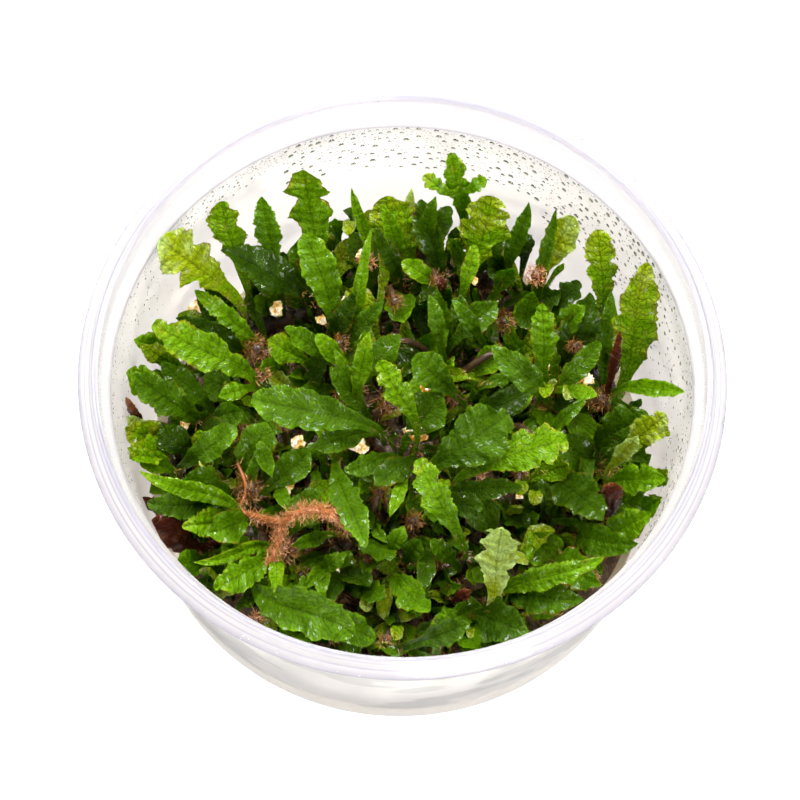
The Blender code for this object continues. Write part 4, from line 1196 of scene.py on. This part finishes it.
# %% Low fronds
Storey = namedtuple("Storey", "count reach blade rise top")
LOW = Storey(count=350, reach=38.0, blade=(4.6, 9.2), rise=(3.0, 11.5), top=33.0)
SPECKS = Storey(count=380, reach=37.0, blade=(2.5, 6.0), rise=(2.0, 11.0), top=27.0)
LOW_FORMS = ("toothed", "lobed", "lobed", "nicked", "nicked", "blade", "slip", "paddle")
LOW_SHADES = ("dark", "dark", "deep", "deep", "mid", "mid", "fresh", "bright", "yellow")
LOW_PARTS = 3
LOW_GRID = (18, 7)
SPECK_GRID = (10, 5)
WILD = 1.0
ROOTED = 0.3
UP = Vector((0.0, 0.0, 1.0))
CLEARINGS = [
    (470, 300, 20), (262, 348, 18), (214, 372, 12), (250, 487, 20), (235, 525, 16), (330, 598, 20),
    (345, 520, 14), (503, 460, 14), (395, 482, 16), (565, 452, 11), (480, 522, 12), (455, 568, 14),
    (390, 330, 14), (350, 385, 18), (390, 402, 18), (285, 548, 20), (340, 340, 12), (537, 275, 18),
    (600, 397, 16), (565, 562, 12), (278, 309, 10), (322, 300, 9), (297, 441, 10), (286, 484, 12),
    (356, 443, 14), (417, 431, 14), (582, 377, 12), (427, 386, 9), (262, 437, 12), (437, 278, 8)]


def in_clearing(frond):
    """Whether the photograph shows a frond's tip or middle in one of the clearings, given by pixel."""
    tip = Vector(frond.tip)
    shown = [pixel_of(spot) for spot in (tip, (Vector(frond.neck) + tip) / 2)]
    return any(math.hypot(across - x, down - y) < reach
               for across, down in shown for x, y, reach in CLEARINGS)


def low_frond(number, storey):
    """A frond rooted in the mat near its spot on the spiral."""
    chance = random.Random(number)
    turn = number * GOLDEN_TURN + chance.uniform(-0.2, 0.2)
    out = storey.reach * math.sqrt((number % storey.count + 0.5) / storey.count) + chance.uniform(-1.5, 1.5)
    heading = turn + chance.gauss(0.0, 0.9)
    lean = Vector((math.cos(heading), math.sin(heading), 0.0))
    foot = Vector((math.cos(turn), math.sin(turn), 0.0)) * min(abs(out), storey.reach)
    foot.z = mat_top(foot.x, foot.y) - ROOTED
    neck = foot + lean * chance.uniform(0.8, 3.0)
    neck.z = foot.z + chance.uniform(*storey.rise)
    long = chance.uniform(*storey.blade)
    pitch = math.radians(chance.uniform(0, 75))
    tip = neck + (lean * math.cos(pitch) + UP * math.sin(pitch)) * long
    tip.z = min(tip.z, storey.top)
    edge = inner_radius(tip.z) - 1.6
    if tip.xy.length > edge:
        tip.xy *= edge / tip.xy.length
    form = chance.choice(LOW_FORMS)
    wide = long * chance.uniform(0.32, 0.56)
    frond = Frond("", form, tuple(neck), tuple(tip), wide, 0.0, chance.choice(LOW_SHADES))
    bow, roll = chance.uniform(-0.1, 0.16) * long, chance.uniform(-40, 40)
    return frond, axis_through(foot, neck, tip, bow, roll), wide


lows = [low_frond(number, LOW) for number in range(LOW.count)]
lows = [low for low in lows if not in_clearing(low[0])]
for part in range(LOW_PARTS):
    skin = skins_of(lows[part::LOW_PARTS], LOW_GRID, itertools.count(7000 + part, LOW_PARTS), WILD)
    dress(f"low_leaves_{part + 1}", skin, live_leaf, "frond_tissue")
specks = [low_frond(9000 + number, SPECKS) for number in range(SPECKS.count)]
skin = skins_of(specks, SPECK_GRID, itertools.count(9500), WILD)
dress("leaf_specks", skin, live_leaf, "frond_tissue")
print("low fronds:", len(lows), "specks:", len(specks))

# %% [markdown]
# ## Small fronds with a place of their own
#
# The rule fills the clump evenly, but the eye knows some small things by their place: the
# bright tips pressed on the wall, yellow bits between the fronds, and brown scraps of
# dead fronds. Each is noted with the pixel that shows it and a height, and grows from
# the mat below it like the others.

# %% Placed fronds: form, shade, neck, tip, width
PLACED = [
    ("toothed", "bright", (166, 350, 28), (137, 341, 36), 5.0),
    ("lobed", "bright", (168, 395, 27), (125, 373, 36), 5.4),
    ("lobed", "yellow", (152, 437, 27), (123, 429, 35), 4.4),
    ("toothed", "bright", (166, 448, 26), (126, 458, 34), 4.6),
    ("nicked", "bright", (652, 482, 28), (669, 468, 36), 3.6),
    ("toothed", "bright", (645, 507, 27), (664, 500, 34), 3.6),
    ("lobed", "yellow", (645, 425, 28), (668, 434, 36), 4.0),
    ("lobed", "mid", (398, 588, 23), (424, 610, 27), 5.6),
    ("lobed", "mid", (330, 575, 24), (300, 592, 27), 4.4),
    ("toothed", "fresh", (452, 560, 24), (430, 540, 28), 3.6),
    ("lobed", "mid", (365, 585, 23), (384, 600, 27), 4.2),
    ("nicked", "deep", (470, 610, 24), (440, 628, 28), 4.4),
    ("slip", "bright", (330, 290, 27), (322, 250, 35), 2.6),
    ("slip", "fresh", (425, 240, 28), (436, 196, 38), 2.8),
    ("slip", "bright", (398, 250, 27), (383, 205, 36), 2.8),
    ("toothed", "mid", (560, 330, 28), (585, 306, 34), 4.0),
    ("slip", "fresh", (556, 426, 27), (586, 398, 32), 2.2),
    ("paddle", "mid", (536, 572, 27), (558, 572, 30), 2.4),
    ("slip", "bright", (436, 636, 26), (446, 613, 30), 2.8),
    ("toothed", "fresh", (392, 550, 26), (404, 526, 30), 2.8),
    ("slip", "bright", (277, 553, 26), (278, 600, 31), 2.3),
    ("slip", "mid", (261, 444, 27), (272, 476, 31), 2.8),
    ("slip", "mid", (279, 486, 26), (288, 511, 30), 2.4),
    ("toothed", "mid", (322, 568, 25), (346, 554, 29), 2.6),
    ("slip", "mid", (322, 568, 25), (306, 588, 28), 2.2),
    ("slip", "mid", (324, 570, 25), (322, 598, 28), 2.4),
    ("slip", "bright", (357, 388, 29), (369, 332, 37), 3.2),
    ("slip", "fresh", (352, 386, 29), (334, 348, 36), 2.0),
    ("slip", "mid", (440, 340, 29), (430, 294, 35), 2.6),
    ("slip", "mid", (478, 334, 27), (453, 299, 33), 2.6)]
YELLOW_BITS = [
    (442, 494, 25), (519, 495, 27), (533, 505, 27), (544, 398, 29), (566, 400, 29), (206, 471, 28),
    (366, 612, 24), (395, 640, 26), (560, 590, 26), (590, 560, 27), (348, 235, 30), (470, 640, 25)]
SCRAPS = [
    ((142, 424, 28), (125, 399, 35), 1.7), ((611, 380, 30), (620, 332, 40), 1.7),
    ((307, 270, 27), (303, 253, 32), 2.6), ((443, 290, 29), (440, 275, 32), 1.6),
    ((152, 508, 24), (139, 498, 28), 2.0), ((455, 600, 23), (470, 590, 26), 2.2)]


def placed_skin(form, shade, neck, tip, wide, seed):
    """The skin of a small frond whose neck and tip are given by pixel and height."""
    neck, tip = seen_at(*neck), seen_at(*tip)
    foot = Vector((neck.x * 0.93, neck.y * 0.93, 0.0))
    foot.z = mat_top(foot.x, foot.y) - ROOTED
    frond = Frond("", form, tuple(neck), tuple(tip), wide, 0.0, shade)
    axis = axis_through(foot, neck, tip, 0.6, 0)
    return frond_skin(frond, axis, wide, *YOUNG_GRID, random.Random(seed), YOUNG_WILD)


skins = [placed_skin(*row, 800 + k) for k, row in enumerate(PLACED)]
for k, (across, down, height) in enumerate(YELLOW_BITS):
    neck = (across + 3, down - 14, height - 1.5)
    skins.append(placed_skin("paddle", "yellow", neck, (across, down, height), 2.4, 850 + k))
dress("placed_leaves", joined(skins), live_leaf, "frond_tissue")
skins = [placed_skin("shred", "dead", *row, 880 + k) for k, row in enumerate(SCRAPS)]
dress("dead_scraps", joined(skins), dead_leaf, "dead_tissue")
print("placed fronds:", len(PLACED) + len(YELLOW_BITS), "scraps:", len(SCRAPS))

# %% [markdown]
# ## Roots and brown hairs
#
# Java fern clings with thin wiry roots, and every rhizome and root wears a felt of fine
# brown hairs. Particle hair would be easy but is lost when the model is exported, so
# each hair is a real three-sided tube that thins towards its tip. All hairs of one place
# are worked out together, as one block of arrays. A real hair is 0.03 mm thick; it is
# drawn at 0.1 mm, as coarse as it has to be to show.

# %% Many tubes at once
HAIR_ROWS = 2
HAIR_RADIUS = 0.05
HAIR_TIP = 0.35
HAIR_CURL = 0.35


def tubes(lines, radii, sides=3):
    """Closed tubes along many lines at once. Lines hold line, row and place."""
    count, rows, _ = lines.shape
    ahead = unit(np.gradient(lines, axis=1))
    hold = unit(np.cross(lines[:, -1] - lines[:, 0], (0.31, 0.52, 0.79)))[:, None]
    side = off_axis(hold, ahead)
    over = np.cross(ahead, side)
    turn = turns(sides)[:, None]
    rings = lines[:, :, None] + np.asarray(radii)[..., None, None] * (
        side[:, :, None] * np.cos(turn) + over[:, :, None] * np.sin(turn))
    leaf = np.zeros((count, rows, sides, 4))
    leaf[..., 0] = np.linspace(0, 1, rows)[:, None]
    leaf[..., 1] = (np.linspace(0.13, 7.1, count) % 1.0)[:, None, None]
    return ringed(rings, leaf)


def hairs(starts, ways, length, chance):
    """Fine curly hairs from starts along ways. Chance is numpy's seeded generator."""
    count = len(starts)
    along = np.linspace(0, 1, HAIR_ROWS)[None, :, None]
    long = chance.uniform(0.5, 1.0, (count, 1, 1)) * length
    bend = chance.normal(0, HAIR_CURL, (count, 1, 3)) * along ** 2
    wobble = 0.12 * np.sin(along * chance.uniform(4, 9, (count, 1, 1)) + chance.uniform(0, 6, (count, 1, 3)))
    grown = unit(np.asarray(ways))[:, None] * along + bend + wobble * along
    radii = HAIR_RADIUS * np.linspace(1.0, HAIR_TIP, HAIR_ROWS) * np.ones((count, 1))
    return tubes(np.asarray(starts)[:, None] + long * grown, radii)


print("a hair has", HAIR_ROWS, "rows of points and is", 2 * HAIR_RADIUS, "mm thick")

# %% Hair and root materials
def hair_material(name, colours):
    """Fine hairs, lighter towards their ends and not all of one tone."""
    material, tree = new_material(name)
    along, tone, _, _ = painted(tree)
    share = calc(tree, "MULTIPLY", calc(tree, "MULTIPLY_ADD", along, 0.5, tone), 0.667)
    skin = add_node(tree, "BsdfPrincipled", {"Base Color": colour_ramp(tree, share, colours),
                                             "Roughness": 0.4, "IOR": 1.42})
    add_node(tree, "OutputMaterial", {"Surface": skin})
    return material


BROWN_COLOURS = ((0.0, "2c1807"), (0.5, "6a4015"), (0.8, "9c6a26"), (1.0, "d0a050"))
FELT_COLOURS = ((0.0, "2a190a"), (0.5, "64421a"), (0.8, "946a2c"), (1.0, "c89c54"))
ORANGE_COLOURS = ((0.0, "5c2e10"), (0.5, "a86634"), (1.0, "e4b682"))
GOLDEN_COLOURS = ((0.0, "4c3a10"), (0.5, "8c7420"), (1.0, "d4b458"))
brown_hair = hair_material("brown root hair", BROWN_COLOURS)
dark_hair = hair_material("wet root felt", FELT_COLOURS)
orange_hair = hair_material("orange root hair", ORANGE_COLOURS)
golden_hair = hair_material("golden root hair", GOLDEN_COLOURS)
print("hair materials:", [paint.name for paint in (brown_hair, dark_hair, orange_hair, golden_hair)])

# %% Hairs on the stems
STEM_HAIRS = 360
for number, (key, path) in enumerate(RHIZOMES.items(), start=1):
    chance = np.random.default_rng(number)
    places = chance.uniform(0.02, 0.98, STEM_HAIRS)
    middle = np.array([smooth_point(path, p) for p in places])
    way = chance.normal(0, 1, (STEM_HAIRS, 3)) + (0, 0, 0.25)
    ahead = unit(np.array([smooth_point(path, p + 0.02) - smooth_point(path, p - 0.02) for p in places]))
    way = off_axis(way, ahead)
    starts = middle + way * RHIZOME_RADIUS * 0.85
    skin = hairs(starts, way + chance.normal(0, 0.6, way.shape), 2.0, chance)
    dress(f"stem_hairs_{number:02d}", skin, brown_hair, "rhizome_skin")
print("stem hairs:", STEM_HAIRS * len(RHIZOMES))

# %% Hairs on the stalks
STALK_HAIRS = 44
MOST_STALKS = 4
chance = np.random.default_rng(31)
starts, ways = [], []
for fronds in settled.values():
    for frond, (route, knots, side, _), _ in fronds[:MOST_STALKS]:
        at = chance.uniform(0.15, 0.95, STALK_HAIRS) * knots[1]
        middle, ahead, _, _ = sections_of(route, knots, side, at)
        way = off_axis(chance.normal(0, 1, (STALK_HAIRS, 3)), ahead)
        starts.append(middle + way * STALK_HALF * 0.8)
        ways.append(way)
skin = hairs(np.concatenate(starts), np.concatenate(ways), 1.1, chance)
dress("stalk_hairs", skin, brown_hair, "frond_tissue")
print("stalk hairs:", len(starts) * STALK_HAIRS)

# %% Golden fuzz between the low fronds
FUZZY = 170
FUZZ_HAIRS = 22
chance = np.random.default_rng(63)
starts = []
for frond, (route, knots, side, _), _ in lows[:FUZZY]:
    at = chance.uniform(0.5, 1.25, FUZZ_HAIRS) * knots[1]
    middle, _, wide, up = sections_of(route, knots, side, at)
    starts.append(middle + wide * chance.normal(0, 0.5, (FUZZ_HAIRS, 1)) + up * 0.2)
ways = chance.normal(0, 1, (FUZZY * FUZZ_HAIRS, 3)) + (0, 0, 0.6)
dress("low_fuzz", hairs(np.concatenate(starts), ways, 0.9, chance), golden_hair, "frond_tissue")
print("fuzz hairs:", len(ways))

# %% Felt on the mat
FELT_HAIRS = 3800
FELT_REACH = 38.5
chance = np.random.default_rng(50)
turn = chance.uniform(0, math.tau, FELT_HAIRS)
out = FELT_REACH * np.sqrt(chance.uniform(0, 1, FELT_HAIRS))
starts = np.array([(x, y, mat_top(x, y) - 0.1) for x, y in zip(out * np.cos(turn), out * np.sin(turn))])
skin = hairs(starts, chance.normal(0, 0.7, (FELT_HAIRS, 3)) + (0, 0, 0.9), 1.5, chance)
dress("mat_felt", skin, dark_hair, "root_tangle")
print("felt hairs:", FELT_HAIRS)

# %% Thin roots that wander over the mat
ROOTS = 100
ROOT_ROWS = 22
ROOT_REACH = 30
first_heading = chance.uniform(0, math.tau, (ROOTS, 1))
heading = first_heading + np.cumsum(chance.normal(0, 0.28, (ROOTS, ROOT_ROWS)), axis=1)
step = chance.uniform(0.6, 1.3, (ROOTS, 1))
out = ROOT_REACH * np.sqrt(chance.uniform(0, 1, ROOTS))
turn = chance.uniform(0, math.tau, ROOTS)
x = (out * np.cos(turn))[:, None] + np.cumsum(np.cos(heading) * step, axis=1)
y = (out * np.sin(turn))[:, None] + np.cumsum(np.sin(heading) * step, axis=1)
far = np.maximum(np.hypot(x, y) / FELT_REACH, 1.0)
x, y = x / far, y / far
lift = 0.5 + 0.5 * np.sin(np.linspace(0, 9, ROOT_ROWS) + chance.uniform(0, 6, (ROOTS, 1)))
ground = np.array([[mat_top(a, b) for a, b in zip(row_x, row_y)] for row_x, row_y in zip(x, y)])
z = ground + 0.15 + 1.6 * lift
radii = chance.uniform(0.10, 0.24, (ROOTS, 1)) * np.ones((1, ROOT_ROWS))
dress("wiry_roots", tubes(np.stack([x, y, z], axis=-1), radii, 4), brown_hair, "root_tangle")
print("roots:", ROOTS)

# %% [markdown]
# ## Tufts, stubs and the bare runner
#
# Where an old frond fell, a stub stays, and its hairs dry to a brown tuft. One bare
# runner lies on top at the front left: a thin root-like stem in a coat of orange hairs.
# Each tuft sits on a stub that comes up from the nearest rhizome, so it never floats.
# The photograph gives only where a tuft shows. Its height is that of the fronds around.

# %% Tufts: pixel, height, reach, whether orange
TUFTS = [
    (352, 386, 27, 2.6, 0), (391, 402, 26, 2.4, 0), (256, 348, 27, 2.6, 0), (250, 486, 27, 2.9, 0),
    (284, 548, 25, 2.6, 1), (340, 342, 27, 1.8, 0), (437, 279, 31, 1.3, 0), (537, 273, 30, 2.1, 1),
    (415, 209, 31, 1.2, 0), (600, 397, 26, 2.4, 0), (262, 437, 26, 1.8, 0), (305, 262, 27, 1.3, 0),
    (566, 562, 24, 1.8, 1), (592, 577, 26, 1.5, 1), (455, 590, 22, 1.8, 0), (380, 492, 25, 1.8, 0),
    (330, 606, 22, 2.0, 0), (345, 526, 24, 1.8, 0), (300, 575, 23, 2.0, 0), (440, 556, 23, 1.6, 0),
    (480, 470, 26, 1.5, 1), (505, 320, 25, 2.0, 0), (365, 260, 27, 1.6, 1), (560, 330, 26, 1.6, 0),
    (205, 470, 26, 1.5, 1), (420, 590, 22, 1.6, 0), (610, 545, 26, 1.5, 0), (255, 620, 26, 1.6, 1),
    (243, 432, 28, 1.7, 0), (283, 421, 28, 1.5, 0), (412, 520, 26, 1.8, 0), (534, 440, 30, 1.5, 1),
    (575, 345, 29, 1.5, 0), (395, 300, 28, 1.6, 0), (365, 560, 25, 1.7, 0), (262, 372, 27, 1.4, 1),
    (343, 392, 27, 1.6, 0), (270, 455, 26, 1.5, 0), (395, 340, 27, 1.4, 0), (455, 395, 26, 1.4, 0),
    (500, 350, 27, 1.4, 0), (520, 470, 26, 1.4, 0), (430, 470, 26, 1.3, 1), (385, 640, 24, 1.3, 1),
    (335, 635, 24, 1.3, 0), (545, 640, 23, 1.2, 1), (622, 440, 28, 1.3, 0), (180, 440, 27, 1.2, 0)]
STUB_RADIUS = 0.75
STUB_ROWS = 10
STUB_SIDES = 8
FARTHEST_FOOT = 9
CORE_ROWS = 7


def stub_line(middle, reach):
    """The line of a stub that bends up from a rhizome or from the mat to a tuft's middle."""
    feet = [smooth_point(path, nearest_place(path, middle)) for path in RHIZOMES.values()]
    foot = min(feet, key=lambda spot: (spot.xy - middle.xy).length)
    if (foot.xy - middle.xy).length > FARTHEST_FOOT:
        foot = Vector((middle.x * 0.96, middle.y * 0.96, mat_top(middle.x, middle.y) - 0.2))
    t = np.linspace(0, 1, STUB_ROWS)[:, None]
    bulge = np.array([(foot.x + middle.x) / 2, (foot.y + middle.y) / 2, max(foot.z, middle.z)])
    end = np.array(middle) - (0, 0, 0.4 * reach)
    return (1 - t) ** 2 * np.array(foot) + 2 * t * (1 - t) * bulge + t ** 2 * end


tufts = ([], [])
stubs = []
for number, (across, down, height, reach, orange) in enumerate(TUFTS):
    chance = np.random.default_rng(300 + number)
    line = stub_line(seen_at(across, down, height), reach)
    count = int(92 * reach ** 1.4)
    way = unit(chance.normal(0, 1, (count, 3)) + (0, 0, 0.35))
    start = line[-1] + way * reach * (1.0, 1.0, 0.7) * chance.uniform(0.3, 0.95, (count, 1))
    tufts[orange].append(hairs(start, way + chance.normal(0, 1.1, way.shape), 0.95, chance))
    along = chance.integers(2, STUB_ROWS, count // 3)
    tufts[orange].append(hairs(line[along], chance.normal(0, 1, (count // 3, 3)), 1.1, chance))
    core = np.linspace(-1, 1, CORE_ROWS)
    stubs.append((line, STUB_RADIUS * np.linspace(1.0, 0.7, STUB_ROWS)))
    stubs.append((line[-1] + 0.5 * reach * core[:, None] * (0.4, 0.2, 1.0),
                  0.45 * reach * np.sqrt(1.02 - core ** 2)))
dress("hair_tufts", joined(tufts[0]), brown_hair, "rhizome_skin")
dress("orange_tufts", joined(tufts[1]), orange_hair, "rhizome_skin")
stub_skins = [tubes(line[None], radii[None], STUB_SIDES) for line, radii in stubs]
dress("old_stubs", joined(stub_skins), stem_bark, "rhizome_skin")
print("tufts:", len(TUFTS))

# %% The bare runner
RUNNER = [(241, 512, 26.5), (262, 518, 29.0), (282, 521, 32.5), (299, 512, 35.0), (316, 510, 35.5),
          (332, 514, 34.0), (348, 527, 31.0)]
BRANCH = [(282, 521, 32.0), (280, 535, 31.0), (276, 550, 29.0), (268, 565, 27.0)]
ROOTLET = [(237, 463, 27.5), (243, 476, 27.5), (246, 490, 26.5), (241, 505, 25.0)]
RUNNER_PARTS = ((RUNNER, 0.5, 1300), (BRANCH, 0.4, 520), (ROOTLET, 0.28, 60))
RUNNER_ROWS = 30
RUNNER_SIDES = 10
runner_skins = []
for number, (pixels, radius, felt) in enumerate(RUNNER_PARTS):
    chance = np.random.default_rng(400 + number)
    path = [tuple(seen_at(*pixel)) for pixel in pixels]
    line = np.array([smooth_point(path, p) for p in np.linspace(0, 1, RUNNER_ROWS)])
    ends = np.minimum(np.linspace(0.4, 8, RUNNER_ROWS), 1) * np.minimum(np.linspace(8, 0.3, RUNNER_ROWS), 1)
    runner_skins.append(tubes(line[None], (radius * ends)[None], RUNNER_SIDES))
    at = chance.uniform(0, 1, felt) ** 0.8
    way = unit(chance.normal(0, 1, (felt, 3)))
    thick = 1.9 - 2.6 * np.abs(at - 0.55)[:, None]
    start = np.array([smooth_point(path, p) for p in at]) + way * thick * chance.uniform(0.2, 0.9, (felt, 1))
    runner_skins.append(hairs(start, way + chance.normal(0, 0.8, way.shape), 1.1, chance))
dress("bare_runner", joined(runner_skins), orange_hair, "rhizome_skin")
print("runner and its hairs are made")

# %% [markdown]
# ## Crumbs of gel
#
# When a clump is lifted and set back, crumbs of the pale jelly stay between the fronds.
# They are soft broken lumps. Each is a ball whose points are pushed in and out by noise
# and that is flattened a little. The light table shines up through them, and a faint
# glow of their own stands for that light, which few rays would find between the fronds.

# %% Gel crumbs: pixel, height, radius
CRUMBS = [
    (278, 309, 24, 0.9), (323, 294, 25, 0.8), (321, 320, 24, 0.6), (362, 254, 27, 0.7),
    (297, 442, 24, 0.9), (286, 478, 24, 0.8), (287, 487, 24, 0.9), (354, 441, 24, 1.2),
    (361, 447, 24, 0.9), (416, 430, 25, 1.2), (419, 435, 25, 0.9), (427, 387, 27, 0.7),
    (578, 377, 26, 0.9), (588, 379, 26, 0.8), (583, 372, 26, 0.7), (545, 366, 26, 0.6),
    (185, 425, 25, 0.6), (200, 315, 20, 1.6), (474, 280, 28, 0.5), (340, 570, 22, 0.5),
    (545, 612, 25, 0.6), (345, 300, 25, 0.5), (480, 455, 26, 0.6), (519, 496, 24, 0.5),
    (437, 494, 25, 0.6)]
CRUMB_ROWS = 10
CRUMB_SIDES = 14
CRUMB_GLOW = 0.22
CRUMB_STAINS = ((0.38, "b07c1c"), (0.5, "f0d48c"), (0.58, "fffae8"))


def crumb(middle, radius, seed):
    """One broken lump of jelly."""
    tilt = np.linspace(0.08, np.pi - 0.08, CRUMB_ROWS)[:, None]
    turn = turns(CRUMB_SIDES)
    way = np.stack([np.sin(tilt) * np.cos(turn), -np.sin(tilt) * np.sin(turn),
                    np.cos(tilt) * np.ones(CRUMB_SIDES)], axis=-1).reshape(-1, 3)
    push = np.array([noise.noise(Vector(w * 1.6) + Vector((seed * 3.7, 0, 0))) for w in way])
    points = np.array(middle) + way * (1.1 * radius * (1 + 1.3 * push))[:, None] * (1.0, 1.0, 0.75)
    return ringed(points.reshape(1, CRUMB_ROWS, CRUMB_SIDES, 3))


crumb_material, tree = new_material("broken agar gel")
stain = speckle(tree, add_node(tree, "TexCoord").outputs["Object"], 700.0, 2.0)
amber = colour_ramp(tree, stain, CRUMB_STAINS)
crumb_skin = add_node(tree, "BsdfPrincipled", {
    "Base Color": amber, "Roughness": 0.06, "IOR": GEL_IOR, "Transmission Weight": 0.5,
    "Emission Color": amber, "Emission Strength": CRUMB_GLOW})
add_node(tree, "OutputMaterial", {"Surface": crumb_skin})
skins = [crumb(seen_at(across, down, height), radius, number)
         for number, (across, down, height, radius) in enumerate(CRUMBS)]
dress("gel_crumbs", joined(skins), crumb_material, "culture_gel", sharp_degrees=35)
print("gel crumbs:", len(CRUMBS))

# %% [markdown]
# ## Condensation
#
# The clump breathes, so its cup is wet inside: a band of drops below the ledge, larger
# where they ran together, a fine dew on the lid's seat, and beads on the skirt. A drop on
# plastic is a low dome, flattened by its weight. Each one is a true dome of water, because
# only a real shape bends the light into the dark crescents that make it look like a drop.

# %% Drops
DROP_SIDES = 6
DROP_ROWS = ((1.0, 0.0), (0.86, 0.5), (0.45, 0.9))
DROP_HEIGHT = 0.48
DROP_STRETCH = 1.1


def drops(centres, inward, radii):
    """Domes on a surface. Inward is the way that they stand off it."""
    centres, inward = np.asarray(centres)[:, None], unit(np.asarray(inward))
    level = unit(np.cross((0.0, 0.0, 1.0), inward))
    slope = np.cross(inward, level)
    turn = turns(DROP_SIDES)[None, :, None]
    rim = level[:, None] * np.cos(turn) + slope[:, None] * (DROP_STRETCH * np.sin(turn))
    rings = [centres + radii[:, None, None] * (rim * share + inward[:, None] * rise * DROP_HEIGHT)
             for share, rise in DROP_ROWS]
    return ringed(np.stack(rings, axis=1))


water, tree = new_material("water drop")
water_skin = add_node(tree, "BsdfPrincipled", {"Base Color": linear("ffffff"), "Roughness": 0.0,
                                               "IOR": WATER_IOR, "Transmission Weight": 1.0})
add_node(tree, "OutputMaterial", {"Surface": water_skin})
print("sides of a drop:", DROP_SIDES)

# %% Drops on the wall: angles, heights, tries, radii
WALL_DROPS = (((60, 118), (31, 42.2), 900, (0.14, 0.60)), ((60, 126), (38, 42.3), 900, (0.10, 0.22)),
              ((118, 152), (37, 42.2), 240, (0.09, 0.28)), ((25, 60), (26, 42.2), 700, (0.12, 0.54)),
              ((-50, 25), (20, 42.2), 800, (0.11, 0.40)), ((150, 205), (26, 42.2), 260, (0.10, 0.24)))
MOSTLY_SMALL = 3.6
MOSTLY_HIGH = 1.5
APART = 1.35
chance = np.random.default_rng(77)
spots, ways, sizes = [], [], []
for angles, (low, high), tries, (small, large) in WALL_DROPS:
    radii = small + (large - small) * chance.uniform(0, 1, tries) ** MOSTLY_SMALL
    for radius in sorted(radii, reverse=True):
        angle = math.radians(chance.uniform(*angles))
        height = high - (high - low) * chance.uniform(0, 1) ** MOSTLY_HIGH
        wall = inner_radius(height) - 0.03
        spot = Vector((wall * math.cos(angle), wall * math.sin(angle), height))
        if all((spot - other).length >= APART * (radius + size) for other, size in zip(spots, sizes)):
            spots.append(spot)
            ways.append((-math.cos(angle), -math.sin(angle), 0.09))
            sizes.append(radius)
dress("wall_drops", drops(spots, ways, np.array(sizes)), water, "cup_plastic", sharp_degrees=85)
print("drops on the wall:", len(spots))

# %% Dew on the seat and beads on the skirt
DEW_BANDS = (
    ("seat_dew", 600, INNER_WALL[3], INNER_WALL[4], -1, (0.07, 0.17)),
    ("skirt_beads", 620, (RIDGE_RADIUS + 0.8, CUP_HEIGHT - 0.8), (RIM_RADIUS - 0.2, RIM_HEIGHT + 0.45), 1,
     (0.12, 0.26)))
for name, count, inner, outer, side, (small, large) in DEW_BANDS:
    turn = chance.uniform(0, math.tau, count)
    share = chance.uniform(0.05, 0.95, count)
    radius, height = (start + (end - start) * share for start, end in zip(inner, outer))
    climb, run = (abs(end - start) for start, end in zip(inner, outer))
    outward = np.stack([np.cos(turn), np.sin(turn)], axis=1)
    spots = np.concatenate([outward * radius[:, None], height[:, None]], axis=1)
    ways = np.concatenate([outward * side * run, np.full((count, 1), climb)], axis=1)
    skin = drops(spots, ways, chance.uniform(small, large, count))
    dress(name, skin, water, "cup_plastic", sharp_degrees=85)
    print(name, count)

# %% Sizes, and the end
counts = {piece.name: sum(len(face.vertices) - 2 for face in piece.data.polygons)
          for piece in bpy.data.objects if piece.type == "MESH" and not piece.hide_render}
print("triangles:", sum(counts.values()), "most in one piece:", max(counts.values()))
